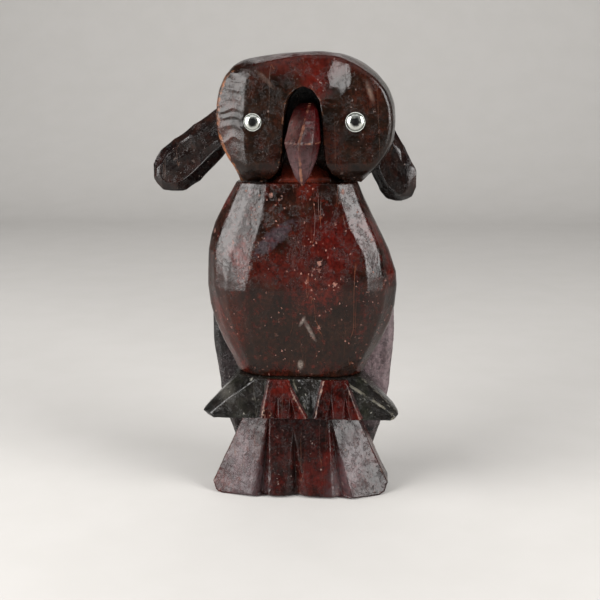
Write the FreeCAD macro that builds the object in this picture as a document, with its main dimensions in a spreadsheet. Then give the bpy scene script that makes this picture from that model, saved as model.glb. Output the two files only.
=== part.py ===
import FreeCAD, Part
import math
import os
import PartDesign
import Sketcher
import Spreadsheet

# A carved wooden owl standing on its perch. Millimetres, +Z up, the owl looks along -Y.
# The origin is the middle of the flat lower edge of the tail, on which the owl stands.
# "left" and "right" are the owl's own sides: left is +X, right is -X.

DIMENSIONS = (
    ("tail_height", 40.3, "tail, from its lower edge to the underside of the perch"),
    ("tail_half", 38.6, "half width of the tail at its widest, just above the lower corners"),
    ("tail_foot_half", 36.0, "half width of the flat lower edge"),
    ("tail_top_half", 22.0, "half width of the tail under the perch"),
    ("tail_corner", 4.5, "height of the bevel at the lower corners"),
    ("tail_front", 12.5, "front of the tail, ahead of the origin"),
    ("tail_depth", 22.5, "thickness of the tail"),
    ("tail_groove", 3.2, "depth of the V grooves between the tail feathers"),
    ("perch_height", 15.5, "perch, underside to top"),
    ("perch_half", 41.2, "half length of the perch"),
    ("perch_front", 21.0, "perch front face at the underside, ahead of the origin"),
    ("perch_lean", 3.5, "how far the perch front leans back on its way up"),
    ("perch_rim", 1.6, "height of the small bevel below the perch ends"),
    ("perch_shift", 0.6, "middle of the perch, sideways from the origin"),
    ("foot_relief", 2.0, "how far the feet stand out from the perch"),
    ("toe_notch", 7.5, "height of the notches between the toes"),
    ("back_plane", 12.0, "flat back of perch, torso and head, behind the origin"),
    ("torso_height", 81.4, "torso, perch to underside of the head"),
    ("torso_half", 40.0, "half width of the torso at the belly crease"),
    ("torso_front", 20.0, "belly crease, ahead of the origin"),
    ("torso_shift", 0.5, "middle of the torso's foot, sideways from the origin"),
    ("torso_lean", 1.7, "how far the torso leans sideways on its way up"),
    ("head_height", 52.1, "head, underside to crown"),
    ("head_half", 37.7, "half width of the head"),
    ("head_shift", 2.1, "middle of the head, sideways from the origin"),
    ("head_front", 18.0, "flat of the face, ahead of the origin"),
    ("head_rim", 10.0, "rim of the face bevels, ahead of the origin"),
    ("arch_half", 7.8, "half width of the beak recess"),
    ("arch_height", 36.0, "beak recess, underside of the head to the crown of the arch"),
    ("arch_depth", 14.0, "depth of the beak recess"),
    ("arch_shift", 1.1, "beak recess, sideways from the middle of the head"),
    ("beak_half", 7.0, "half width of the beak at its knee"),
    ("beak_knee", 17.5, "height of the beak's knee above the underside of the head"),
    ("beak_top", 32.0, "height of the beak's root above the underside of the head"),
    ("beak_front", 29.0, "knee of the beak, ahead of the origin"),
    ("eye_height", 24.8, "eyes above the underside of the head"),
    ("eye_apart", 20.35, "half distance between the eyes"),
    ("eye_shift", 1.4, "middle of the eyes, sideways from the middle of the head"),
    ("eye_radius", 3.8, "glass eye"),
    ("eye_seat", 3.0, "depth of the eye sockets"),
    ("eye_dome", 1.9, "how far the glass bulges out of the face"),
    ("pupil_radius", 1.2, "black pin inside the glass eye"),
    ("pupil_length", 3.9, "length of the black pin"),
    ("right_ear_reach", 44.8, "right ear, peg to its blunt end"),
    ("right_ear_half", 9.8, "half width of the right ear"),
    ("left_ear_reach", 41.9, "left ear, peg to its blunt end"),
    ("left_ear_half", 8.5, "half width of the left ear"),
    ("ear_thick", 8.0, "thickness of the ears"),
    ("ear_bevel", 2.4, "bevel round the face of the ears"),
    ("ear_play", 0.3, "free gap on each side of the ears"),
    ("peg_radius", 2.0, "ear pegs"),
    ("peg_play", 0.08, "running gap round the ear pegs"),
    ("peg_seat", 11.0, "how deep the pegs go into the head"),
    ("peg_head", 4.0, "radius of the peg heads"),
    ("peg_dome", 2.4, "height of the peg heads"),
    ("right_peg_side", 30.3, "right ear peg, sideways from the middle of the head"),
    ("right_peg_up", 24.5, "right ear peg, above the underside of the head"),
    ("right_ear_droop", 39.5, "right ear, degrees below level"),
    ("left_peg_side", 25.5, "left ear peg, sideways from the middle of the head"),
    ("left_peg_up", 27.9, "left ear peg, above the underside of the head"),
    ("left_ear_droop", 66.0, "left ear, degrees below level"),
    ("wing_half", 40.4, "wings, outer edge from the middle"),
    ("wing_shift", 0.6, "gap between the wings, sideways from the origin"),
    ("wing_top", 112.0, "top of the wings above the tail's lower edge"),
    ("wing_tip", 6.0, "wing tips above the tail's lower edge"),
    ("wing_thick", 8.0, "thickness of the wings"),
    ("wing_gap", 1.2, "gap between the wings"),
)


class Length:
    """A size that knows its number and the formula that the document keeps for it."""

    def __init__(self, number, text):
        self.number = number
        self.text = text

    @staticmethod
    def of(other):
        return other if isinstance(other, Length) else Length(float(other), f"{other:g}")

    def join(self, sign, number, other):
        return Length(number, f"({self.text} {sign} {other.text})")

    def __add__(self, other):
        other = Length.of(other)
        return self.join("+", self.number + other.number, other)

    def __sub__(self, other):
        other = Length.of(other)
        return self.join("-", self.number - other.number, other)

    def __mul__(self, other):
        other = Length.of(other)
        return self.join("*", self.number * other.number, other)

    def __truediv__(self, other):
        other = Length.of(other)
        return self.join("/", self.number / other.number, other)

    def __neg__(self):
        return Length(-self.number, f"(-{self.text})")


class Sizes:
    """The document's sheet of driving dimensions, read as attributes."""

    def __init__(self, document):
        sheet = document.addObject("Spreadsheet::Sheet", "Dimensions")
        for row, (name, number, meaning) in enumerate(DIMENSIONS, start=1):
            sheet.set(f"A{row}", f"{number:g}")
            sheet.setAlias(f"A{row}", name)
            sheet.set(f"B{row}", meaning)
            setattr(self, name, Length(number, f"Dimensions.{name}"))
        document.recompute()
        self.perch_base = self.tail_height
        self.torso_base = self.tail_height + self.perch_height
        self.head_base = self.torso_base + self.torso_height


doc = FreeCAD.newDocument("owl")
size = Sizes(doc)


def drive(item, prop, length):
    """Bind one property to its formula."""
    item.setExpression(prop, Length.of(length).text)


def place(item, across, ahead, up, turn=None):
    """Put a sub-part at a point; turn is (axis, Length in degrees)."""
    if turn:
        axis, angle = turn
        item.Placement = FreeCAD.Placement(FreeCAD.Vector(), FreeCAD.Rotation(axis, angle.number))
        drive(item, "Placement.Rotation.Angle", angle)
    drive(item, "Placement.Base.x", across)
    drive(item, "Placement.Base.y", ahead)
    drive(item, "Placement.Base.z", up)


def new_body(label):
    body = doc.addObject("PartDesign::Body", label)
    body.Label = label
    return body


def new_sketch(body, plane, offset, shift=0):
    """An empty sketch on one of the body's own origin planes, moved along the plane's normal and sideways."""
    sketch = body.newObject("Sketcher::SketchObject", f"{body.Label}_sketch")
    origin_plane = next(item for item in body.Origin.OriginFeatures if item.Role == plane)
    sketch.AttachmentSupport = [(origin_plane, "")]
    sketch.MapMode = "FlatFace"
    drive(sketch, "AttachmentOffset.Base.z", offset)
    drive(sketch, "AttachmentOffset.Base.x", shift)
    return sketch


def pin(sketch, edge, end, corner):
    """Hold one end of an edge at a corner given by two Lengths."""
    for kind, length in zip(("DistanceX", "DistanceY"), corner):
        length = Length.of(length)
        index = sketch.addConstraint(Sketcher.Constraint(kind, -1, 1, edge, end, length.number))
        sketch.setExpression(f"Constraints[{index}]", length.text)


def arc_between(start, end, radius):
    """The shorter arc from start to end, turning anticlockwise."""
    half = (end - start) / 2
    rise = math.sqrt(max(radius * radius - half.Length ** 2, 0.0))
    left = FreeCAD.Vector(-half.y, half.x, 0).normalize()
    centre = start + half + left * rise
    first = math.atan2(start.y - centre.y, start.x - centre.x)
    last = math.atan2(end.y - centre.y, end.x - centre.x)
    if last < first:
        last += 2 * math.pi
    return Part.ArcOfCircle(Part.Circle(centre, FreeCAD.Vector(0, 0, 1), radius), first, last)


def outline(body, plane, offset, corners, arcs=None, shift=0):
    """A closed outline through the corners; arcs maps an edge number to its radius."""
    sketch = new_sketch(body, plane, offset, shift)
    arcs = arcs or {}
    points = [FreeCAD.Vector(Length.of(a).number, Length.of(b).number, 0) for a, b in corners]
    count = len(points)
    for edge in range(count):
        start, end = points[edge], points[(edge + 1) % count]
        if edge in arcs:
            sketch.addGeometry(arc_between(start, end, arcs[edge].number))
        else:
            sketch.addGeometry(Part.LineSegment(start, end))
    for edge in range(count):
        sketch.addConstraint(Sketcher.Constraint("Coincident", edge, 2, (edge + 1) % count, 1))
        pin(sketch, edge, 1, corners[edge])
    for edge, radius in arcs.items():
        index = sketch.addConstraint(Sketcher.Constraint("Radius", edge, radius.number))
        sketch.setExpression(f"Constraints[{index}]", radius.text)
    return sketch


def circle(body, plane, offset, centre, radius, shift=0):
    """A sketch that holds one circle."""
    sketch = new_sketch(body, plane, offset, shift)
    middle = FreeCAD.Vector(Length.of(centre[0]).number, Length.of(centre[1]).number, 0)
    sketch.addGeometry(Part.Circle(middle, FreeCAD.Vector(0, 0, 1), radius.number))
    pin(sketch, 0, 3, centre)
    index = sketch.addConstraint(Sketcher.Constraint("Radius", 0, radius.number))
    sketch.setExpression(f"Constraints[{index}]", radius.text)
    return sketch


def extrude(body, kind, sketch, length, backwards=False):
    """A Pad or a Pocket of one sketch."""
    feature = body.newObject(f"PartDesign::{kind}", f"{body.Label}_{kind.lower()}")
    feature.Profile = sketch
    feature.Reversed = backwards
    drive(feature, "Length", length)
    return feature


def loft(body, kind, sketches):
    """A flat-sided loft through the sketches, in order."""
    feature = body.newObject(f"PartDesign::{kind}", f"{body.Label}_loft")
    feature.Profile = sketches[0]
    feature.Sections = sketches[1:]
    feature.Ruled = True
    return feature


def revolve(body, sketch):
    """A full turn of a half profile about the sketch's own upright axis."""
    feature = body.newObject("PartDesign::Revolution", f"{body.Label}_turned")
    feature.Profile = sketch
    feature.ReferenceAxis = (sketch, ["V_Axis"])
    feature.Angle = 360
    return feature


def v_groove(body, bottom, top, front_bottom, front_top, depth, shift=0):
    """Cut a V groove into a front face. Bottom and top are (across, half width, up)."""
    sketches = []
    for (across, half, up), front, deep in ((bottom, front_bottom, depth), (top, front_top, depth * 0.1)):
        corners = (
            (Length.of(across) - half, -front - 0.2),
            (Length.of(across) + half, -front - 0.2),
            (across, -front + deep),
        )
        sketches.append(outline(body, "XY_Plane", up, corners, shift=shift))
    return loft(body, "SubtractiveLoft", sketches)


def make_tail():
    """The fan tail: four feathers parted by three V grooves, flat below so that the owl stands."""
    body = new_body("tail")
    corners = (
        (-size.tail_foot_half, 0),
        (size.tail_foot_half, 0),
        (size.tail_half, size.tail_corner),
        (size.tail_top_half, size.tail_height),
        (-size.tail_top_half, size.tail_height),
        (-size.tail_half, size.tail_corner),
    )
    extrude(body, "Pad", outline(body, "XZ_Plane", size.tail_front - size.tail_depth, corners), size.tail_depth)
    # lower end (across, half width), upper end (across, height), as shares of the tail's size
    grooves = (((-0.43, 0.085), (-0.34, 0.88)), ((-0.03, 0.11), (-0.07, 0.72)), ((0.49, 0.10), (0.33, 0.88)))
    for (low_across, low_half), (high_across, high_up) in grooves:
        bottom = (size.tail_half * low_across, size.tail_half * low_half, -0.5)
        top = (size.tail_half * high_across, size.tail_half * 0.008, size.tail_height * high_up)
        v_groove(body, bottom, top, size.tail_front, size.tail_front, size.tail_groove)
    return body


def perch_front_at(rise):
    """Perch front face, ahead of the origin, at a height above the perch's underside."""
    return size.perch_front - size.perch_lean * rise / size.perch_height


def make_perch():
    """The branch: a bar with long bevelled ends, its front leaning back."""
    body = new_body("perch")
    # height, side front, then each side's front, tip, flank and back as shares of the half length
    stations = (
        (Length.of(0), 0.78, (-0.88, -0.96, -0.92, -0.78), (0.97, 1.00, 0.94, 0.80)),
        (size.perch_rim, 0.78, (-0.90, -1.00, -0.94, -0.80), (0.99, 1.03, 0.96, 0.82)),
        (size.perch_height, 0.50, (-0.43, -0.63, -0.64, -0.60), (0.44, 0.62, 0.63, 0.59)),
    )
    sketches = []
    for rise, side_front, right, left in stations:
        depths = (-perch_front_at(rise), -size.perch_front * side_front, -size.back_plane * 0.15, size.back_plane)
        corners = [(size.perch_half * share, depth) for share, depth in zip(right, depths)]
        corners += [(size.perch_half * share, depth) for share, depth in reversed(list(zip(left, depths)))]
        sketches.append(outline(body, "XY_Plane", size.perch_base + rise, corners, shift=size.perch_shift))
    loft(body, "AdditiveLoft", sketches)
    return body


def make_foot(label, low, high, notches):
    """A raised foot on the perch front: low and high are its edges, as shares of the half length."""
    body = new_body(label)
    sketches = []
    for rise, edges in ((Length.of(0), low), (size.perch_height, high)):
        wood = -perch_front_at(rise)
        corners = (
            (size.perch_half * edges[0], wood - size.foot_relief),
            (size.perch_half * edges[1], wood - size.foot_relief),
            (size.perch_half * edges[1] + size.foot_relief * 0.5, wood),
            (size.perch_half * edges[0] - size.foot_relief * 0.5, wood),
        )
        sketches.append(outline(body, "XY_Plane", size.perch_base + rise, corners, shift=size.perch_shift))
    loft(body, "AdditiveLoft", sketches)
    for low_across, high_across in notches:
        bottom = (size.perch_half * low_across, size.perch_half * 0.035, size.perch_base - 0.3)
        top = (size.perch_half * high_across, size.perch_half * 0.006, size.perch_base + size.toe_notch)
        low_front = size.perch_front + size.foot_relief
        high_front = perch_front_at(size.toe_notch) + size.foot_relief
        v_groove(body, bottom, top, low_front, high_front, size.foot_relief * 0.9, size.perch_shift)
    return body


def make_torso():
    """The body: flat carved facets that meet in a level crease across the belly."""
    body = new_body("torso")
    # height, front, right side (flat, bevel, flank), left side (flat, bevel, flank)
    stations = (
        (0.000, 0.70, (0.35, 0.55, 0.675), (0.40, 0.57, 0.67)),
        (0.160, 0.80, (0.45, 0.69, 0.825), (0.50, 0.72, 0.85)),
        (0.330, 0.92, (0.51, 0.80, 0.955), (0.62, 0.83, 0.98)),
        (0.467, 1.00, (0.54, 0.84, 1.000), (0.70, 0.86, 1.00)),
        (0.650, 0.93, (0.485, 0.875, 0.99), (0.66, 0.81, 0.90)),
        (0.786, 0.85, (0.42, 0.77, 0.94), (0.49, 0.70, 0.765)),
        (1.000, 0.65, (0.34, 0.61, 0.69), (0.34, 0.50, 0.56)),
    )
    sketches = []
    for up, front, right, left in stations:
        face = -size.torso_front * front
        bevel = face * 0.72
        flank = face * 0.30
        corners = (
            (-size.torso_half * right[0], face),
            (size.torso_half * left[0], face),
            (size.torso_half * left[1], bevel),
            (size.torso_half * left[2], flank),
            (size.torso_half * left[2] * 0.94, size.back_plane),
            (-size.torso_half * right[2] * 0.94, size.back_plane),
            (-size.torso_half * right[2], flank),
            (-size.torso_half * right[1], bevel),
        )
        height = size.torso_base + size.torso_height * up
        shift = size.torso_shift + size.torso_lean * up
        sketches.append(outline(body, "XY_Plane", height, corners, shift=shift))
    loft(body, "AdditiveLoft", sketches)
    return body


def head_corners(shares):
    """Corners of a head outline from shares of its half width and height."""
    return [(size.head_half * a, size.head_base + size.head_height * b) for a, b in shares]


def make_head():
    """The head: a block with a bevelled face, the beak recess, eye sockets and two peg holes."""
    body = new_body("head")
    rim = (
        (-0.716, 0.0), (0.635, 0.0), (0.932, 0.245), (1.0, 0.44), (0.973, 0.594), (0.811, 0.817),
        (0.54, 0.948), (0.216, 1.0), (-0.216, 0.986), (-0.676, 0.934), (-0.892, 0.827),
        (-0.989, 0.614), (-1.0, 0.44), (-0.932, 0.245),
    )
    flat = (
        (-0.46, 0.0), (0.46, 0.0), (0.70, 0.16), (0.76, 0.42), (0.74, 0.57), (0.65, 0.74),
        (0.46, 0.845), (0.19, 0.885), (-0.19, 0.875), (-0.51, 0.837), (-0.62, 0.77),
        (-0.675, 0.61), (-0.675, 0.38), (-0.61, 0.10),
    )
    # the right side slopes in towards the face
    sections = (
        (-size.back_plane, rim),
        (size.head_rim, [(a * 0.945 if a < -0.6 else a, b) for a, b in rim]),
        (size.head_front, flat),
    )
    shift = size.head_shift
    sketches = [outline(body, "XZ_Plane", at, head_corners(shape), shift=shift) for at, shape in sections]
    loft(body, "AdditiveLoft", sketches)
    # the beak recess: an arch that spreads at the bottom between the two face lobes
    middle = size.arch_shift
    wall_low = size.head_base + size.arch_height * 0.20
    wall_high = size.head_base + size.arch_height * 0.74
    crown = size.head_base + size.arch_height
    arch = (
        (middle - size.arch_half * 1.9, size.head_base - 1),
        (middle + size.arch_half * 1.9, size.head_base - 1),
        (middle + size.arch_half, wall_low),
        (middle + size.arch_half, wall_high),
        (middle, crown),
        (middle - size.arch_half, wall_high),
        (middle - size.arch_half, wall_low),
    )
    curve = size.arch_half * 1.08
    recess = outline(body, "XZ_Plane", size.head_front, arch, {3: curve, 4: curve}, shift)
    extrude(body, "Pocket", recess, size.arch_depth)
    for side in (-1, 1):
        centre = (size.eye_shift + size.eye_apart * side, size.head_base + size.eye_height)
        socket = circle(body, "XZ_Plane", size.head_front, centre, size.eye_radius * 1.01, shift)
        extrude(body, "Pocket", socket, size.eye_seat)
    pegs = (
        (-size.right_peg_side, size.right_peg_up),
        (size.left_peg_side, size.left_peg_up),
    )
    for across, up in pegs:
        centre = (across, size.head_base + up)
        hole = circle(body, "XZ_Plane", -size.back_plane, centre, size.peg_radius, shift)
        extrude(body, "Pocket", hole, size.peg_seat, backwards=True)
    return body


def make_beak():
    """The beak: a ridge down to a knee, then cut back to a point over the breast."""
    body = new_body("beak")
    floor = size.head_front - size.arch_depth
    # height, half width, ridge across, ridge ahead, cheeks ahead, back ahead
    stations = (
        (size.beak_top, 0.50, 0.16, 0.62, 0.50, floor),
        (size.beak_knee, 1.0, -0.14, 1.00, 0.80, floor),
        (size.beak_knee * 0.03, 0.12, 0.0, 0.80, 0.78, size.beak_front * 0.70),
    )
    sketches = []
    for up, half, ridge, ridge_front, cheek_front, back in stations:
        middle = size.arch_shift
        corners = (
            (middle + size.beak_half * ridge, -size.beak_front * ridge_front),
            (middle + size.beak_half * half, -size.beak_front * cheek_front),
            (middle + size.beak_half * half, -back),
            (middle - size.beak_half * half, -back),
            (middle - size.beak_half * half, -size.beak_front * cheek_front),
        )
        sketches.append(outline(body, "XY_Plane", size.head_base + up, corners, shift=size.head_shift))
    loft(body, "AdditiveLoft", sketches)
    return body


def make_eye(side_name, side):
    """A domed glass eye with a blind bore from behind, and the black pin that fills the bore."""
    seat = size.head_front - size.eye_seat
    height = size.head_base + size.eye_height
    glass = new_body(f"{side_name}_eye_glass")
    front = -size.eye_seat - size.eye_dome
    curve = (size.eye_radius * size.eye_radius + size.eye_dome * size.eye_dome) / (size.eye_dome * 2)
    profile = (
        (0, -size.pupil_length),
        (0, front),
        (size.eye_radius, -size.eye_seat),
        (size.eye_radius, 0),
        (size.pupil_radius, 0),
        (size.pupil_radius, -size.pupil_length),
    )
    revolve(glass, outline(glass, "XY_Plane", 0, profile, {1: curve}))
    across = size.head_shift + size.eye_shift + size.eye_apart * side
    place(glass, across, -seat, height)
    pupil = doc.addObject("Part::Cylinder", f"{side_name}_eye_pupil")
    drive(pupil, "Radius", size.pupil_radius)
    drive(pupil, "Height", size.pupil_length)
    quarter = Length.of(90)
    place(pupil, across, -seat, height, (FreeCAD.Vector(1, 0, 0), quarter))
    return [glass, pupil]


def make_ear(label, across, up, turn, reach, half):
    """A paddle-shaped ear with a blunt end, drawn lying along +X and turned to its resting droop."""
    body = new_body(label)
    shape = (
        (-0.13, -0.38), (-0.06, -0.70), (0.40, -0.87), (0.66, -1.0), (0.81, -0.95), (0.89, -0.80),
        (0.985, -0.33), (1.0, 0.05), (0.985, 0.38), (0.915, 0.74), (0.84, 0.92), (0.745, 1.0),
        (0.59, 1.0), (0.30, 0.86), (-0.06, 0.70), (-0.13, 0.38),
    )
    sketch = outline(body, "XZ_Plane", 0, [(reach * a, half * b) for a, b in shape])
    paddle = extrude(body, "Pad", sketch, size.ear_thick)
    doc.recompute()
    face = min(
        range(len(paddle.Shape.Faces)),
        key=lambda index: paddle.Shape.Faces[index].CenterOfMass.y,
    )
    bevel = body.newObject("PartDesign::Chamfer", f"{label}_bevel")
    bevel.Base = (paddle, [f"Face{face + 1}"])
    drive(bevel, "Size", size.ear_bevel)
    bore = circle(body, "XZ_Plane", size.ear_thick, (0, 0), size.peg_radius + size.peg_play)
    extrude(body, "Pocket", bore, size.ear_thick * 1.1)
    behind = size.back_plane + size.ear_play + size.ear_thick
    place(body, size.head_shift + across, behind, size.head_base + up, (FreeCAD.Vector(0, 1, 0), turn))
    return body


def make_peg(label, across, up):
    """A round-headed peg, driven through the ear into the back of the head."""
    body = new_body(label)
    shank = size.peg_seat + size.ear_thick + size.ear_play * 2
    edge = shank + size.peg_dome * 0.35
    rise = size.peg_dome * 0.65
    curve = (size.peg_head * size.peg_head + rise * rise) / (rise * 2)
    profile = (
        (0, 0),
        (size.peg_radius, 0),
        (size.peg_radius, shank),
        (size.peg_head, shank),
        (size.peg_head, edge),
        (0, shank + size.peg_dome),
    )
    revolve(body, outline(body, "XY_Plane", 0, profile, {4: curve}))
    place(body, size.head_shift + across, size.back_plane - size.peg_seat, size.head_base + up)
    return body


def make_wing(label, side):
    """A folded wing: a flat board against the back that tapers to a tip behind the tail."""
    body = new_body(label)
    gap = size.wing_gap / 2
    outer = size.wing_half
    corners = (
        (gap, size.wing_top),
        (gap, size.wing_top * 0.36),
        (outer * 0.30, size.wing_tip),
        (outer * 0.62, size.wing_tip * 1.1),
        (outer * 0.84, size.wing_top * 0.205),
        (outer * 0.96, size.wing_top * 0.40),
        (outer, size.wing_top * 0.60),
        (outer * 0.98, size.wing_top * 0.86),
        (outer * 0.80, size.wing_top),
    )
    corners = [(Length.of(a) * side, b) for a, b in corners]
    sketch = outline(body, "XZ_Plane", -size.back_plane, corners, shift=size.wing_shift)
    extrude(body, "Pad", sketch, size.wing_thick, backwards=True)
    return body


def check(items):
    """Stop if any object is in error or any sub-part has no sound shape."""
    for item in doc.Objects:
        if "Invalid" in item.State or "Error" in item.State:
            raise RuntimeError(f"{item.Label} is in state {item.State}")
    for item in items:
        if item.Shape.isNull() or not item.Shape.isValid() or len(item.Shape.Solids) != 1:
            raise RuntimeError(f"{item.Label} is not one sound solid")


def main():
    right_turn = Length.of(180) - size.right_ear_droop
    ears = (
        ("right", -size.right_peg_side, size.right_peg_up, right_turn, size.right_ear_reach, -size.right_ear_half),
        ("left", size.left_peg_side, size.left_peg_up, size.left_ear_droop, size.left_ear_reach, size.left_ear_half),
    )
    items = [make_tail(), make_perch(), make_torso(), make_head(), make_beak()]
    items.append(make_foot("right_foot", (-0.375, 0.085), (-0.30, -0.125), ((-0.235, -0.21), (-0.06, -0.075))))
    items.append(make_foot("left_foot", (0.165, 0.635), (0.255, 0.475), ((0.325, 0.335), (0.49, 0.478))))
    for side_name, side in (("right", -1), ("left", 1)):
        items += make_eye(side_name, side)
        items.append(make_wing(f"{side_name}_wing", side))
    for side_name, across, up, turn, reach, half in ears:
        items.append(make_ear(f"{side_name}_ear", across, up, turn, reach, half))
        items.append(make_peg(f"{side_name}_ear_peg", across, up))
    doc.recompute()
    check(items)
    os.makedirs("parts", exist_ok=True)
    for item in items:
        item.Shape.exportStep(f"parts/{item.Label}.step")


main()
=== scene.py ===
"""A carved and lacquered wooden owl on its perch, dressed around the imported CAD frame.

Every carved piece is a surface worked out with numpy on a grid of rows and rings, in
millimetres, and turned to metres when its mesh is made. "Left" and "right" are the owl's
own sides: it looks along -Y, so its left is +X.
"""

import logging
import math
from dataclasses import dataclass, field, replace
from enum import Enum
from typing import Optional, Sequence

import bpy
import numpy as np
from mathutils import Matrix, Vector


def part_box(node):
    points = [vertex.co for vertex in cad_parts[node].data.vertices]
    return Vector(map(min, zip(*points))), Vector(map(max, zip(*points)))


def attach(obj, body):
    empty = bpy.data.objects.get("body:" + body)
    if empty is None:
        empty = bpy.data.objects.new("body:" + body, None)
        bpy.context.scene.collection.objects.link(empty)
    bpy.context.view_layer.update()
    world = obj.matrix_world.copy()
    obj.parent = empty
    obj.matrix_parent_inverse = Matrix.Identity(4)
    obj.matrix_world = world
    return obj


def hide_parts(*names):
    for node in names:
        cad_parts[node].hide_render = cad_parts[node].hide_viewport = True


LOG = logging.getLogger("owl")
MM = 0.001
UNWORN = 6.0  # added to the distance from an edge that shows no wear, mm
FAR_FROM_EDGE = 9.0  # distance given to plain wood, where nothing wears, mm
Array = np.ndarray
Pairs = Sequence[tuple[float, float]]
Socket = bpy.types.NodeSocket

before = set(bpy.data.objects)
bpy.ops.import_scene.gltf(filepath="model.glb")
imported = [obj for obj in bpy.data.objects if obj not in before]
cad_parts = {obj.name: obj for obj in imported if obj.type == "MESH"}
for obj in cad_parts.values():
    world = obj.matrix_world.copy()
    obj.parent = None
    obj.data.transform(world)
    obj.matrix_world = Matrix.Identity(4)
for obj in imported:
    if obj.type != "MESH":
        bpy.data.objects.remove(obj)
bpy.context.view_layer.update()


class Side(Enum):
    """The owl's own sides and the sign of their X."""

    RIGHT = -1
    LEFT = 1

    def named(self, piece: str) -> str:
        """Name this side's copy of a piece, such as right_ear."""
        return f"{self.name.lower()}_{piece}"

    def pick(self, right: int, left: int) -> int:
        """Choose this side's value of two."""
        return left if self is Side.LEFT else right


# ------------------------------------------------------------------ helpers for shapes


def box_mm(node_name: str) -> tuple[Array, Array]:
    """Read a CAD node's box.

    Args:
        node_name: The node's name in the frame.

    Returns:
        Its lowest and highest corners, in millimetres.
    """
    low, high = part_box(node_name)
    return np.array(low) / MM, np.array(high) / MM


def lattice(cells: Array, seed: int) -> Array:
    """Give each whole-number cell a fixed pseudo-random number.

    The three cell numbers are multiplied by large primes, mixed with exclusive or and
    reduced to the range 0 to 1.

    Args:
        cells: Whole numbers, shape (..., 3).
        seed: Which of many such fields to give.

    Returns:
        Numbers from 0 to 1, shape (...).
    """
    mixed = cells[..., 0] * 73856093 ^ cells[..., 1] * 19349663 ^ cells[..., 2] * 83492791
    mixed = (mixed ^ (seed * 2654435761)) & 0xFFFFFFFF
    mixed = ((mixed ^ (mixed >> 15)) * 2246822519) & 0xFFFFFFFF
    mixed = ((mixed ^ (mixed >> 13)) * 3266489917) & 0xFFFFFFFF
    return ((mixed ^ (mixed >> 16)) & 0xFFFFFF) / float(0xFFFFFF)


def unevenness(points: Array, cell: Sequence[float], seed: int) -> Array:
    """Smooth noise: cell corners get random heights, blended with a smooth step between.

    Args:
        points: Positions in millimetres, shape (..., 3).
        cell: Size of one bump along X, Y and Z, in millimetres.
        seed: Which noise field.

    Returns:
        Heights from -1 to 1, shape (...).
    """
    scaled = points / np.array(cell, float)
    base = np.floor(scaled).astype(np.int64)
    part = scaled - base
    part = part * part * (3 - 2 * part)
    total = np.zeros(points.shape[:-1])
    for corner in np.ndindex(2, 2, 2):
        weight = np.prod(np.where(np.array(corner), part, 1 - part), axis=-1)
        total += weight * lattice(base + np.array(corner), seed)
    return total * 2 - 1


def knife_cuts(points: Array, cell: Sequence[float], seed: int) -> Array:
    """Shallow scoops side by side, as a knife or gouge leaves them.

    Each cell holds one random centre. The value is the squared distance to the nearest
    centre, so it is low in the middle of a scoop and high on the ridge between two.

    Args:
        points: Positions in millimetres, shape (..., 3).
        cell: Size of one scoop along X, Y and Z, in millimetres.
        seed: Which field of scoops.

    Returns:
        Heights from about -0.5 in a scoop to 0.5 on a ridge, shape (...).
    """
    scaled = points / np.array(cell, float)
    base = np.floor(scaled).astype(np.int64)
    nearest = np.full(points.shape[:-1], 9.0)
    for step in np.ndindex(3, 3, 3):
        cells = base + np.array(step) - 1
        offsets = np.stack([lattice(cells, seed + axis) for axis in range(3)], axis=-1)
        gap = cells + offsets - scaled
        nearest = np.minimum(nearest, np.sum(gap * gap, axis=-1))
    return np.clip(nearest, 0, 1) - 0.5


def soft_track(at: Array, stations: Array, values: Array, soften: float) -> Array:
    """Carry values from station to station in straight lines, with the creases rounded.

    The straight-line value is averaged with its value a little before and after.

    Args:
        at: Where to read, shape (rows,).
        stations: Where the values are given, rising, shape (count,).
        values: The values there, shape (count, ...).
        soften: How far before and after to average.

    Returns:
        Values at each row, shape (rows, ...).
    """
    flat = values.reshape(len(stations), -1)
    total = np.zeros((len(at), flat.shape[1]))
    for shift, weight in ((-1.0, 0.25), (0.0, 0.5), (1.0, 0.25)):
        place = np.clip(at + shift * soften, stations[0], stations[-1])
        for column in range(flat.shape[1]):
            total[:, column] += weight * np.interp(place, stations, flat[:, column])
    return total.reshape((len(at),) + values.shape[1:])


def rows_between(marks: Sequence[float], step: float, rim: float = 0.0) -> Array:
    """Space rows evenly between marks, with extra rows near the two ends.

    Args:
        marks: Positions that must be rows, rising.
        step: Largest gap between rows.
        rim: Length at each end that gets eight close rows for a rounded edge.

    Returns:
        Row positions, rising.
    """
    runs = [
        np.linspace(a, b, max(2, int(math.ceil((b - a) / step)) + 1)) for a, b in zip(marks, marks[1:])
    ]
    if rim > 0:
        bend = rim * (1 - np.cos(np.linspace(0, math.pi / 2, 8)))
        runs += [marks[0] + bend, marks[-1] - bend]
    return np.unique(np.round(np.concatenate(runs), 5))


def at_heights(outlines: Array, rows: Array) -> Array:
    """Lift each row's flat outline to that row's height.

    Args:
        outlines: Corners as (across, depth), shape (rows, count, 2).
        rows: Heights, shape (rows,).

    Returns:
        Corner positions, shape (rows, count, 3).
    """
    heights = np.broadcast_to(rows[:, None, None], outlines.shape[:2] + (1,))
    return np.concatenate([outlines, heights], axis=2)


@dataclass
class Carving:
    """A closed carved surface: rows of rings, and how far each point is from a facet edge."""

    points: Array
    edge: Array

    def __post_init__(self) -> None:
        """Check that points and edge agree."""
        assert self.points.shape[:2] == self.edge.shape


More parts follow.
